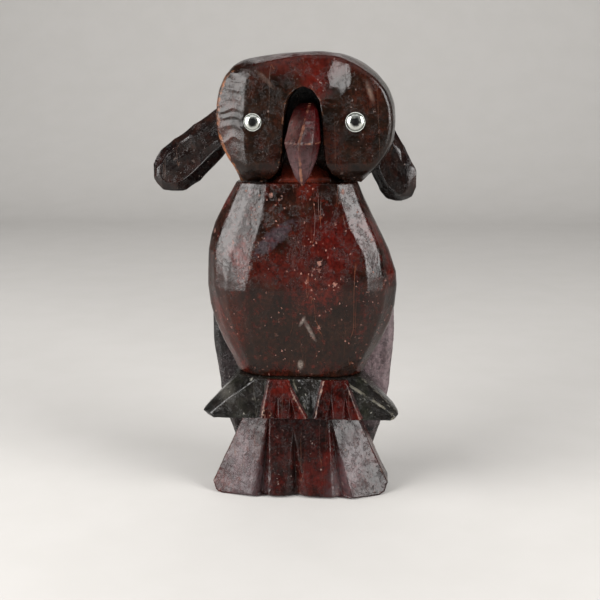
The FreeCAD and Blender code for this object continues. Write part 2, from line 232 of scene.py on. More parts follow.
def ring_through(
    corners: Array,
    radius: Array | Sequence[float],
    straight: Sequence[int],
    worn: Sequence[float] | float = 0.0,
    bend: int = 5,
) -> Carving:
    """Run a ring through the corners of each row, with every corner rounded.

    Near a corner the ring follows the quadratic curve whose control point is the corner
    itself and whose ends lie one radius along each side. Between corners it is straight.

    Args:
        corners: Corner positions, shape (rows, count, 3).
        radius: Rounding length at each corner, shape (count,) or (rows, count).
        straight: Number of points on each side that follows its corner.
        worn: How worn each corner line is, from 0 to 1.
        bend: Number of points on each rounded corner.

    Returns:
        The rings, and each point's distance to the nearest worn corner line.
    """
    rows, count, _ = corners.shape
    radius = np.broadcast_to(np.asarray(radius, float), (rows, count))
    spare = (1 - np.broadcast_to(np.asarray(worn, float), (rows, count))) * UNWORN
    before = np.roll(corners, 1, axis=1) - corners
    after = np.roll(corners, -1, axis=1) - corners
    before_length = np.linalg.norm(before, axis=2) + 1e-9
    after_length = np.linalg.norm(after, axis=2) + 1e-9
    most = 0.45  # the share of a side that one corner's curve may take
    enter = corners + before * (np.minimum(radius, before_length * most) / before_length)[..., None]
    leave = corners + after * (np.minimum(radius, after_length * most) / after_length)[..., None]
    turn = np.linspace(0, 1, bend)[None, :, None]
    pieces, edges = [], []
    for corner in range(count):
        following = (corner + 1) % count
        a, c, b = enter[:, None, corner], corners[:, None, corner], leave[:, None, corner]
        pieces.append((1 - turn) ** 2 * a + 2 * turn * (1 - turn) * c + turn ** 2 * b)
        edges.append(np.repeat(spare[:, corner, None], bend, axis=1))
        far = enter[:, None, following]
        run = np.linspace(0, 1, straight[corner] + 2)[None, 1:-1, None]
        pieces.append(b + (far - b) * run)
        length = np.linalg.norm(far - b, axis=2)
        share = run[..., 0]
        near = share * length + spare[:, corner, None]
        edges.append(np.minimum(near, (1 - share) * length + spare[:, following, None]))
    return Carving(np.concatenate(pieces, axis=1), np.concatenate(edges, axis=1))


def round_rims(
    carving: Carving, rows: Array, rim: float, worn: tuple[float, float] = (0.0, 0.0)
) -> None:
    """Draw the first and last rows in, so that both ends get a rounded edge.

    A row at depth d below an end moves in by rim - sqrt(rim^2 - (rim - d)^2).

    Args:
        carving: The surface, changed in place.
        rows: Each row's position along the piece.
        rim: Radius of the rounded edge.
        worn: How worn the first and the last end are, from 0 to 1.
    """
    for depth, wear in ((rows - rows[0], worn[0]), (rows[-1] - rows, worn[1])):
        shy = np.clip(rim - depth, 0, rim)
        inset = rim - np.sqrt(np.maximum(rim * rim - shy * shy, 0))
        middle = carving.points.mean(axis=1, keepdims=True)
        out = carving.points - middle
        reach = np.linalg.norm(out, axis=2, keepdims=True) + 1e-9
        carving.points -= out / reach * np.minimum(inset[:, None, None], reach * 0.9)
        far = np.maximum(depth - rim * 0.5, 0) + (1 - wear) * UNWORN
        carving.edge[:] = np.minimum(carving.edge, far[:, None])


def close_ends(carving: Carving) -> Carving:
    """Add flat caps of shrinking rings at both ends, for a pole to close.

    Args:
        carving: The open surface.

    Returns:
        The surface with three more rings at each end.
    """
    points, edge = [carving.points], [carving.edge]
    for share in (0.96, 0.75, 0.4):
        for end, place in ((0, 0), (-1, None)):
            ring = carving.points[end]
            middle = ring.mean(axis=0)
            small = (middle + (ring - middle) * share)[None]
            far = carving.edge[end][None] + (1 - share) * 8
            if place == 0:
                points.insert(0, small)
                edge.insert(0, far)
            else:
                points.append(small)
                edge.append(far)
    return Carving(np.concatenate(points), np.concatenate(edge))


def outward(points: Array) -> Array:
    """Find surface normals from the grid: the cross product of its two directions.

    Args:
        points: Rows of rings, shape (rows, ring, 3).

    Returns:
        Unit normals, shape (rows, ring, 3).
    """
    along = np.gradient(points, axis=0)
    wrapped = np.concatenate([points[:, -1:], points, points[:, :1]], axis=1)
    around = (wrapped[:, 2:] - wrapped[:, :-2]) / 2
    normal = np.cross(around, along)
    normal /= np.linalg.norm(normal, axis=2, keepdims=True) + 1e-12
    middle = points.reshape(-1, 3).mean(axis=0)
    if np.sum(normal * (points - middle)) < 0:
        normal = -normal
    return normal


@dataclass(frozen=True)
class Handwork:
    """How uneven the carver left a surface, in millimetres."""

    wave: float = 0.18
    wave_cell: tuple[float, float, float] = (9.0, 9.0, 14.0)
    cut: float = 0.10
    cut_cell: tuple[float, float, float] = (4.5, 4.5, 7.0)
    chip: float = 0.12
    seed: int = 1
    chip_cell: tuple[float, float, float] = (1.3, 1.3, 1.9)
    chip_reach: float = 2.2

    def apply(self, carving: Carving) -> None:
        """Move the surface in and out by waves, knife cuts and small chips along its edges.

        Chips are finer noise that fades out over the chip reach from a facet edge, and only
        ever takes wood away.

        Args:
            carving: The surface, changed in place.
        """
        points = carving.points
        shift = self.wave * unevenness(points, self.wave_cell, self.seed)
        shift += self.cut * knife_cuts(points, self.cut_cell, self.seed + 10)
        near = np.clip(1 - carving.edge / self.chip_reach, 0, 1)
        nick = np.clip(unevenness(points, self.chip_cell, self.seed + 20) - 0.1, 0, 1)
        shift -= self.chip * near * nick * 2
        carving.points += outward(points) * shift[..., None]


def keep_inside(carving: Carving, low: Array, high: Array) -> None:
    """Trim a surface to a box, given by its lowest and highest corners."""
    carving.points = np.clip(carving.points, low, high)


def make_object(
    name: str, carving: Carving, body: str, nodes: Sequence[str], material: bpy.types.Material
) -> bpy.types.Object:
    """Turn a carved surface into a smooth closed mesh that rides on a body.

    Rows of quads join ring to ring, and a fan of triangles closes each end on a pole. The
    faces are flipped if the volume they enclose comes out negative.

    Args:
        name: The piece's name.
        carving: The surface, in millimetres.
        body: The CAD body that it moves with.
        nodes: The CAD nodes that it stands for.
        material: Its finish.

    Returns:
        The new object.
    """
    grid = carving.points
    rows, ring, _ = grid.shape
    poles = np.stack([grid[0].mean(axis=0), grid[-1].mean(axis=0)])
    coords = np.concatenate([grid.reshape(-1, 3), poles]) * MM
    index = np.arange(rows * ring).reshape(rows, ring)
    following = np.roll(index, -1, axis=1)
    quads = np.stack([index[:-1], following[:-1], following[1:], index[1:]], axis=-1).reshape(-1, 4)
    first = np.stack([following[0], index[0], np.full(ring, rows * ring)], axis=-1)
    last = np.stack([index[-1], following[-1], np.full(ring, rows * ring + 1)], axis=-1)
    faces = quads.tolist() + first.tolist() + last.tolist()
    mesh = bpy.data.meshes.new(name)
    mesh.from_pydata(coords, [], faces)
    a, b, c, d = (coords[quads[:, corner]] for corner in range(4))
    volume = sum(np.einsum("ij,ij->i", a, np.cross(p, q)).sum() for p, q in ((b, c), (c, d)))
    if volume < 0:
        mesh.flip_normals()
    edge = np.concatenate([carving.edge.reshape(-1), [FAR_FROM_EDGE] * 2]).astype(np.float32)
    mesh.attributes.new("edge_mm", "FLOAT", "POINT").data.foreach_set("value", edge)
    mesh.shade_smooth()
    mesh.update()
    piece = bpy.data.objects.new(name, mesh)
    bpy.context.scene.collection.objects.link(piece)
    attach(piece, body)
    if nodes:
        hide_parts(*nodes)
    mesh.materials.append(material)
    LOG.info("%s: %d faces", name, len(mesh.polygons))
    return piece


def turned(profile: Pairs, centre: Array, segments: int = 72) -> Carving:
    """Turn a half profile about the Y axis through a centre.

    A point at angle a of a profile point (r, y) is centre + (r cos a, y, r sin a).

    Args:
        profile: Radius and Y, in millimetres.
        centre: The middle, in millimetres.
        segments: Points round the turn.

    Returns:
        The turned surface.
    """
    shape = np.array(profile, float)
    angle = np.linspace(0, 2 * math.pi, segments, endpoint=False)
    x = shape[:, :1] * np.cos(angle)
    z = shape[:, :1] * np.sin(angle)
    y = np.repeat(shape[:, 1:], segments, axis=1)
    points = np.stack([x, y, z], axis=-1) + centre
    return Carving(points, np.full(points.shape[:2], 5.0))


# ------------------------------------------------------------------ helpers for finishes


def linear(colour: str) -> tuple[float, float, float, float]:
    """Turn an sRGB colour to linear light.

    Args:
        colour: Six hex digits, such as "5a1f16".

    Returns:
        Red, green, blue and full alpha.
    """
    values = [int(colour[at:at + 2], 16) / 255 for at in (0, 2, 4)]
    red, green, blue = [v / 12.92 if v <= 0.04045 else ((v + 0.055) / 1.055) ** 2.4 for v in values]
    return (red, green, blue, 1.0)


@dataclass
class Paintbox:
    """A material's node tree, with one way to add to it."""

    name: str
    material: bpy.types.Material = field(init=False)

    def __post_init__(self) -> None:
        """Create an empty node material."""
        self.material = bpy.data.materials.new(self.name)
        self.material.use_nodes = True
        self.material.node_tree.nodes.clear()

    def add(
        self, kind: str, links: Optional[dict] = None, out: int | str = 0, **settings: object
    ) -> Socket:
        """Add one node.

        Args:
            kind: The node's type, without the ShaderNode prefix.
            links: Socket name or number to a value or another node's output.
            out: Which output to return.
            settings: Properties set on the node.

        Returns:
            The chosen output socket.
        """
        tree = self.material.node_tree
        node = tree.nodes.new(f"ShaderNode{kind}")
        for key, value in settings.items():
            setattr(node, key, value)
        for key, value in (links or {}).items():
            if isinstance(value, bpy.types.NodeSocket):
                tree.links.new(value, node.inputs[key])
            else:
                node.inputs[key].default_value = value
        return node.outputs[out] if len(node.outputs) else node

    def spread(
        self, value: Socket, low: float, high: float, to_low: float = 0.0, to_high: float = 1.0
    ) -> Socket:
        """Stretch a range of a value smoothly on to another range."""
        links = {"Value": value, "From Min": low, "From Max": high, "To Min": to_low, "To Max": to_high}
        return self.add("MapRange", links, interpolation_type="SMOOTHSTEP")

    def sum(self, operation: str, first: Socket | float, second: Socket | float) -> Socket:
        """Join two numbers with a Math node."""
        return self.add("Math", {0: first, 1: second}, operation=operation)

    def blend(self, share: Socket | float, under: Socket | tuple, over: Socket | tuple) -> Socket:
        """Lay one colour over another by a share."""
        return self.add("Mix", {0: share, 6: under, 7: over}, out=2, data_type="RGBA")

    def noise(
        self, where: Socket, size_mm: float, detail: float = 3.0, rough: float = 0.55
    ) -> Socket:
        """Noise whose features are about size_mm across."""
        links = {"Vector": where, "Scale": 1 / (size_mm * MM), "Detail": detail, "Roughness": rough}
        return self.add("TexNoise", links)

    def stretched(self, where: Socket, scale: tuple, turn: tuple = (0.0, 0.0, 0.0)) -> Socket:
        """Coordinates turned and stretched, for grain and scratches."""
        return self.add("Mapping", {"Vector": where, "Rotation": turn, "Scale": scale})

    def surface(self, shader_links: dict) -> bpy.types.Material:
        """Close the tree with one Principled shader.

        Args:
            shader_links: Socket name to a value or another node's output.

        Returns:
            The finished material.
        """
        shader = self.add("BsdfPrincipled", shader_links)
        self.add("OutputMaterial", {"Surface": shader})
        return self.material


@dataclass(frozen=True)
class Patch:
    """A soft-edged stain or rubbed area: an ellipsoid in the piece's space, in millimetres."""

    centre: tuple[float, float, float]
    radii: tuple[float, float, float]
    colour: str
    share: float = 0.8
    turn: float = 0.0
    soft: float = 0.6


# Sizes of the lacquer's patterns, across one feature, in millimetres. The fine ones are drawn
# a little coarser than real brush marks and pores, so that they show at arm's length.
FINE_MM = 1.6  # brush marks and dust in the lacquer
GRAIN_MM = 0.9  # wood grain across its lines, ten times as long down them
SWELL_MM = 4.0  # soft swells under the gloss
RUDDY_MM = 3.4  # rubbed spots where a redder coat shows
GRIME_MM = 4.2  # dark specks of old grime
FLECK_SETS = ((1.9, 0.17, 0.0), (4.6, 0.19, 0.03))  # cell in mm, a chip's share of it, rarity
SCRATCH_SETS = ((0.35, 3.2), (-0.6, 4.1), (1.25, 3.6))  # turn in radians, spacing in mm


@dataclass(frozen=True)
class AgedLacquer:
    """Hand-brushed coloured lacquer on carved wood, old, glossy and rubbed through at edges.

    The eye gets deep mottled colour under a clear gloss, pale flecks where it has chipped,
    fine scratches, and warm bare wood along the sharpest edges.
    """

    name: str
    deep: str
    main: str
    warm: str
    bare: str = "8a5a36"
    fleck: str = "b39a86"
    rough: float = 0.19
    mottle_mm: float = 9.0
    fleck_share: float = 0.5
    scratch_share: float = 0.5
    wear_mm: float = 0.9
    wear_share: float = 0.7
    bump_mm: float = 0.11
    grime_share: float = 0.35
    gloss: float = 0.26
    patches: tuple[Patch, ...] = ()

    def make(self) -> bpy.types.Material:
        """Build the material: coats of colour, then damage, roughness and relief over them.

        Returns:
            The node material.
        """
        box = Paintbox(self.name)
        where = box.add("TexCoord", out="Object")
        broad = box.noise(where, self.mottle_mm, 4.0, 0.62)
        fine = box.noise(where, FINE_MM, 4.0, 0.65)
        grain = box.noise(box.stretched(where, (1.0, 1.0, 0.10)), GRAIN_MM, 3.0, 0.6)
        grime = box.spread(box.noise(where, GRIME_MM, 7.0, 0.78), 0.50, 0.60)
        swell = box.noise(where, SWELL_MM, 2.0)
        flecks = self.flecks(box, where)
        scratches = self.scratches(box, where)
        wear = self.wear(box, where)
        damage = box.sum("MAXIMUM", wear, box.sum("MAXIMUM", flecks, scratches))

        colour = self.coats(box, where, broad, fine, grime)
        grain_shade = box.spread(grain, 0.30, 0.62, 0.80, 1.15)
        brush_shade = box.spread(fine, 0.3, 0.7, 0.55, 1.50)
        shade = box.sum("MULTIPLY", grain_shade, brush_shade)
        colour = box.add(
            "Mix", {0: 1.0, 6: colour, 7: shade}, out=2, data_type="RGBA", blend_type="MULTIPLY"
        )
        pale = box.sum("MULTIPLY", flecks, 0.85)
        for share, over in ((pale, self.fleck), (scratches, self.bare), (wear, self.bare)):
            colour = box.blend(share, colour, linear(over))

        rough = box.spread(broad, 0.35, 0.7, self.rough * 0.85, self.rough * 1.25)
        for part, share in ((damage, 0.30), (grime, 0.06)):
            rough = box.sum("ADD", rough, box.sum("MULTIPLY", part, share))
        height = box.sum("MULTIPLY", fine, 0.9)
        for part, share in ((grain, 0.35), (damage, -0.6), (grime, -0.35), (swell, 1.6)):
            height = box.sum("ADD", height, box.sum("MULTIPLY", part, share))
        bump = box.add("Bump", {"Strength": 0.8, "Distance": self.bump_mm * MM, "Height": height})
        return box.surface({
            "Base Color": colour,
            "Roughness": rough,
            "IOR": 1.5,
            "Specular IOR Level": self.gloss,
            "Normal": bump,
        })

    def coats(
        self, box: Paintbox, where: Socket, broad: Socket, fine: Socket, grime: Socket
    ) -> Socket:
        """Lay the colours: a mottle, a warm glow, the patches, ruddy spots and grime.

        Args:
            box: The material's node tree.
            where: The piece's coordinates.
            broad: Noise that parts the deep colour from the main one.
            fine: Noise that makes the patches ragged.
            grime: How dirty each place is, from 0 to 1.

        Returns:
            The colour.
        """
        deep, main, warm = (linear(coat) for coat in (self.deep, self.main, self.warm))
        colour = box.blend(box.spread(broad, 0.36, 0.62), deep, main)
        glow = box.noise(box.stretched(where, (1.0, 1.0, 0.55)), self.mottle_mm * 1.7, 3.0, 0.6)
        colour = box.blend(box.spread(glow, 0.50, 0.66, 0.0, 0.8), colour, warm)
        for patch in self.patches:
            share = self.patch_share(box, where, patch, fine)
            colour = box.blend(share, colour, linear(patch.colour))
        ruddy = box.spread(box.noise(where, RUDDY_MM, 6.0, 0.72), 0.53, 0.64, 0.0, 0.45)
        colour = box.blend(ruddy, colour, warm)
        return box.blend(box.sum("MULTIPLY", grime, self.grime_share), colour, deep)

    @staticmethod
    def patch_share(box: Paintbox, where: Socket, patch: Patch, ragged: Socket) -> Socket:
        """Mark a patch: its full share inside the ellipsoid, fading and ragged at the rim.

        Args:
            box: The material's node tree.
            where: The piece's coordinates.
            patch: The patch.
            ragged: Noise that shifts the rim.

        Returns:
            How much the patch covers each place.
        """
        centre = tuple(c * MM for c in patch.centre)
        stretch = tuple(1 / (r * MM) for r in patch.radii)
        turn = {"Axis": (0.0, 1.0, 0.0), "Angle": patch.turn}
        space = box.add("VectorMath", {0: where, 1: centre}, operation="SUBTRACT")
        space = box.add("VectorRotate", {"Vector": space, **turn})
        space = box.add("VectorMath", {0: space, 1: stretch}, operation="MULTIPLY")
        reach = box.add("VectorMath", {0: space}, out="Value", operation="LENGTH")
        reach = box.sum("ADD", reach, box.spread(ragged, 0.25, 0.75, -0.35, 0.35))
        return box.spread(reach, 1.0 - patch.soft, 1.0 + patch.soft * 0.5, patch.share, 0.0)

    def flecks(self, box: Paintbox, where: Socket) -> Socket:
        """Mark ragged chips in two sizes, in loose clusters.

        Args:
            box: The material's node tree.
            where: The piece's coordinates.

        Returns:
            How chipped each place is, from 0 to 1.
        """
        total: Socket | float = 0.0
        ragged = box.spread(box.noise(where, 0.6, 3.0, 0.7), 0.2, 0.8, -0.16, 0.16)
        space = box.stretched(where, (1.0, 1.0, 0.75))
        for cell, size, rarity in FLECK_SETS:
            cells = {"Vector": space, "Scale": 1 / (cell * MM), "Randomness": 1.0}
            spots = box.add("TexVoronoi", cells, out="Distance")
            spot = box.spread(box.sum("ADD", spots, ragged), size * 0.6, size, 1.0, 0.0)
            start = 0.66 + rarity - 0.10 * self.fleck_share
            cluster = box.spread(box.noise(where, cell * 3.1, 3.0, 0.7), start, start + 0.08)
            total = box.sum("MAXIMUM", total, box.sum("MULTIPLY", spot, cluster))
        return total

    def scratches(self, box: Paintbox, where: Socket) -> Socket:
        """Mark thin lines where a stretched noise crosses its middle value.

        They are kept to surfaces that face forwards or back, where the stretch runs along
        the wood.

        Args:
            box: The material's node tree.
            where: The piece's coordinates.

        Returns:
            How scratched each place is, from 0 to 1.
        """
        total: Socket | float = 0.0
        for turn, spacing in SCRATCH_SETS:
            space = box.stretched(where, (1.0, 0.4, 0.06), (0.0, turn, 0.0))
            off_middle = box.sum("SUBTRACT", box.noise(space, spacing, 1.0, 0.4), 0.5)
            line = box.spread(
                box.add("Math", {0: off_middle}, operation="ABSOLUTE"), 0.0, 0.010, 1.0, 0.0
            )
            mask = box.spread(box.noise(space, spacing * 2.3, 2.0), 0.57, 0.67)
            total = box.sum("MAXIMUM", total, box.sum("MULTIPLY", line, mask))
        facing = box.add("SeparateXYZ", {0: box.add("NewGeometry", out="Normal")}, out=1)
        broadside = box.spread(box.add("Math", {0: facing}, operation="ABSOLUTE"), 0.70, 0.85)
        return box.sum("MULTIPLY", box.sum("MULTIPLY", total, broadside), self.scratch_share * 0.8)

    def wear(self, box: Paintbox, where: Socket) -> Socket:
        """Mark bare wood close to facet edges, broken up by noise.

        Args:
            box: The material's node tree.
            where: The piece's coordinates.

        Returns:
            How worn each place is, from 0 to 1.
        """
        edge = box.add("Attribute", out="Fac", attribute_name="edge_mm")
        near = box.spread(edge, 0.0, self.wear_mm * 2.2, 1.0, 0.0)
        worn = box.spread(box.sum("MULTIPLY", near, box.noise(where, 3.0, 5.0, 0.75)), 0.40, 0.56)
        patchy = box.spread(box.noise(where, 11.0, 3.0, 0.6), 0.38, 0.58, 0.15, 1.0)
        return box.sum("MULTIPLY", box.sum("MULTIPLY", worn, patchy), self.wear_share)


# Brushed red-brown lacquer on carved wood: a warm breast, darker below the belly crease.
BODY_LACQUER = AgedLacquer(
    "aged_red_brown_lacquer", deep="0c0402", main="1b0b06", warm="350b06",
    bare="5a2f1a", fleck="704c41",
    gloss=0.25, fleck_share=1.6, scratch_share=0.6, wear_share=0.6, grime_share=0.4,
    patches=(
        Patch((5.6, -18.0, 76.8), (0.9, 8.0, 5.5), "8d827b", 0.8, turn=0.45, soft=0.5),
        Patch((2.4, -18.0, 81.0), (0.8, 8.0, 2.4), "8d827b", 0.7, turn=-0.5, soft=0.5),
        Patch((1.3, -15.0, 61.5), (1.4, 8.0, 2.4), "837870", 0.8, soft=0.5),
        Patch((14.0, -17.0, 112.0), (16.0, 16.0, 15.0), "310705", 0.7),
        Patch((-8.0, -18.0, 103.0), (14.0, 14.0, 8.0), "2f0805", 0.6),
        Patch((2.0, -14.0, 73.0), (44.0, 30.0, 19.0), "150b06", 0.75),
        Patch((-28.0, -12.0, 80.0), (8.0, 14.0, 15.0), "2e1008", 0.55),
        Patch((-9.0, -18.0, 115.5), (10.5, 8.0, 3.2), "2b2326", 0.85, turn=0.72, soft=0.25),
        Patch((10.0, -18.0, 106.0), (3.0, 8.0, 2.6), "070302", 0.7),
    ),
)
# Brushed black-brown lacquer: a dark glossy face, red on the brow, bare wood at one rim, and under the beak
# the chest's red-brown painted lighter as painted light.
HEAD_LACQUER = AgedLacquer(
    "aged_black_brown_lacquer", deep="080402", main="160b06", warm="240c06",
    bare="673d22", fleck="63544e",
    gloss=0.21, fleck_share=1.1, wear_mm=1.0, wear_share=0.9,
    patches=(
        Patch((29.5, -17.0, 173.5), (1.0, 8.0, 4.2), "5c4d45", 0.55, turn=0.3, soft=0.8),
        Patch((-11.5, -18.0, 178.5), (4.6, 8.0, 1.0), "4a3a32", 0.45, turn=-0.8, soft=0.8),
        Patch((5.0, -14.0, 184.5), (22.0, 14.0, 6.0), "2f0c08", 0.75),
        Patch((8.0, -17.0, 178.0), (6.5, 8.0, 9.0), "380a06", 0.75),
        Patch((-36.5, -6.0, 160.0), (3.4, 12.0, 18.0), "673a1c", 0.85),
        # the chest's red-brown in the recess under the beak, painted lighter than its own lacquer as painted
        # light
        Patch((1.0, -9.0, 139.5), (11.0, 7.0, 6.0), "4a1a10", 0.9),
    ),
)
# Brushed crimson lacquer: dull red facets with a worn ridge; the pinkish grey on the right upper facet and
# on the lower facets is the lacquer's tone with painted sheen in it.
BEAK_LACQUER = AgedLacquer(
    "aged_crimson_lacquer", deep="120404", main="1e0707", warm="2d0606",
    bare="6a4635", fleck="6a4e45",
    gloss=0.18, fleck_share=0.5, wear_mm=0.5, wear_share=0.8,
    patches=(
        Patch((8.0, -22.0, 161.5), (4.5, 12.0, 8.5), "2e0405", 0.8),
        # the lacquer's own pinkish tone with painted sheen in it, on the right upper facet and the lower
        # facets
        Patch((-1.5, -24.0, 161.0), (4.0, 8.0, 10.0), "37211e", 0.7),
        Patch((3.0, -25.0, 146.0), (9.0, 8.0, 7.5), "3a2829", 0.8),
    ),
)
# Brushed umber lacquer: nearly black paddles with many pale chips.
EAR_LACQUER = AgedLacquer(
    "aged_umber_lacquer", deep="060202", main="120805", warm="1e0b06",
    bare="4e3322", fleck="5d5049",
    fleck_share=1.3, rough=0.20, scratch_share=0.8,
)
# Brushed chestnut lacquer: red in the middle, with a painted grey reflection of the soft boxes on the outer
# feathers.
TAIL_LACQUER = AgedLacquer(
    "aged_chestnut_lacquer", deep="0c0403", main="1e0806", warm="2f0906",
    bare="533220", fleck="63544e",
    gloss=0.19, fleck_share=1.2, rough=0.20,
    patches=(
        # painted reflection: the grey-lilac sheen of the soft boxes on the two outer feathers
        Patch((-27.5, -12.0, 20.0), (11.0, 12.0, 30.0), "413537", 0.75, turn=0.30),
        Patch((26.0, -12.0, 22.0), (8.5, 12.0, 30.0), "413537", 0.7, turn=-0.36),
    ),
)
# Brushed grey-green paint: dark and cool, with pale worn edges and a painted highlight on the upper facet at
# its right end.
PERCH_PAINT = AgedLacquer(
    "worn_grey_green_paint", deep="070605", main="110e0c", warm="161611",
    bare="585449", fleck="67655d",
    rough=0.22, gloss=0.32, fleck_share=1.3, wear_share=0.8, wear_mm=0.7,
    patches=(
        # painted highlight: the upper facet at the right end, pale grey as if it reflected a soft box
        Patch((-33.0, -14.0, 52.0), (14.0, 8.0, 4.2), "393733", 0.7, turn=-0.75),
    ),
)
# Brushed brick-red paint: the brightest red, rubbed pale at the toes' edges.
FOOT_PAINT = AgedLacquer(
    "worn_brick_red_paint", deep="100302", main="280604", warm="330a06",
    bare="6c5347", fleck="5e4738",
    rough=0.22, gloss=0.18, fleck_share=0.8, wear_share=0.9, wear_mm=0.6,
)
# Thin dark paint on hewn wood: dull, rough and streaked by the gouge, with a painted grey-lilac reflection
# on the left wing.
WING_PAINT = AgedLacquer(
    "dark_paint_on_hewn_wood", deep="080606", main="16110f", warm="241d1e",
    bare="443d38", fleck="5a5450",
    rough=0.24, bump_mm=0.3, fleck_share=1.2,
    patches=(
        # painted reflection: grey-lilac sheen on the left wing
        Patch((32.0, 14.0, 60.0), (14.0, 14.0, 34.0), "6a5b5d", 0.7),
    ),
)
# Stained turned wood: dark, even and duller than the lacquer.
PEG_WOOD = AgedLacquer(
    "dark_stained_peg_wood", deep="090604", main="130b06", warm="1b0e09", bare="443020",
    fleck="4e453d", rough=0.4,
)


@dataclass(frozen=True)
class EyeGlass:
    """Pressed glass silvered behind, drawn as an opaque dome: a painted bright ring of reflected silvering,
    with painted shade greying towards the pin and at the rim, under a sharp glint.
    """

    name: str = "silvered_glass_painted_reflection"

    def make(self) -> bpy.types.Material:
        """Build the material; its painted light and shade follow the distance from the eye's middle.

        Returns:
            The node material.
        """
        box = Paintbox(self.name)
        where = box.add("TexCoord", out="Object")
        reach = box.add("Attribute", out="Fac", attribute_name="edge_mm")
        smear = box.noise(where, 1.0, 4.0, 0.7)
        reach = box.sum("ADD", reach, box.spread(smear, 0.3, 0.7, -0.25, 0.25))
        # painted reflection and shade: dark grey by the pin, a bright silver ring, darker grey at the rim
        colour = box.blend(box.spread(reach, 1.3, 2.3), linear("2a2c28"), linear("b4b7b1"))
        colour = box.blend(box.spread(reach, 2.6, 3.4), colour, linear("555853"))
        return box.surface({
            "Base Color": colour,
            "Metallic": 0.88,
            "Roughness": box.spread(smear, 0.45, 0.75, 0.12, 0.30),
            "Coat Weight": 0.8,
            "Coat Roughness": 0.03,
        })


@dataclass(frozen=True)
class EyeSilvering:
    """Silvered back of a glass eye: pale and bright, spotted grey where it has tarnished."""

    name: str = "tarnished_mirror_silvering"

    def make(self) -> bpy.types.Material:
        """Build the material.

        Returns:
            The node material.
        """
        box = Paintbox(self.name)
        where = box.add("TexCoord", out="Object")
        tarnish = box.spread(box.noise(where, 0.8, 4.0, 0.7), 0.48, 0.70)
        colour = box.blend(tarnish, linear("b9bcb6"), linear("6d6f69"))
        return box.surface({
            "Base Color": colour,
            "Metallic": 0.15,
            "Roughness": box.spread(tarnish, 0.0, 1.0, 0.22, 0.5),
        })


@dataclass(frozen=True)
class PinBlack:
    """Blackened steel pin: near black with a faint worn sheen."""

    name: str = "blackened_steel_pin"

    def make(self) -> bpy.types.Material:
        """Build the material.

        Returns:
            The node material.
        """
        box = Paintbox(self.name)
        where = box.add("TexCoord", out="Object")
        scuff = box.spread(box.noise(where, 0.4, 3.0), 0.4, 0.7)
        return box.surface({
            "Base Color": box.blend(scuff, linear("020202"), linear("0a0908")),
            "Roughness": box.spread(scuff, 0.0, 1.0, 0.5, 0.7),
            "Specular IOR Level": 0.1,
        })


@dataclass(frozen=True)
class StudioPaper:
    """Matt pale background paper with the faintest tooth."""

    name: str = "matt_pale_paper"
    colour: str = "aba9a6"

    def make(self) -> bpy.types.Material:
        """Build the material.

        Returns:
            The node material.
        """
        box = Paintbox(self.name)
        where = box.add("TexCoord", out="Object")
        tooth = box.noise(where, 30.0, 3.0)
        colour = box.blend(box.spread(tooth, 0.3, 0.7, 0.0, 0.25), linear(self.colour), linear("a3a19d"))
        return box.surface({"Base Color": colour, "Roughness": 0.85})


# ------------------------------------------------------------------ the owl's pieces


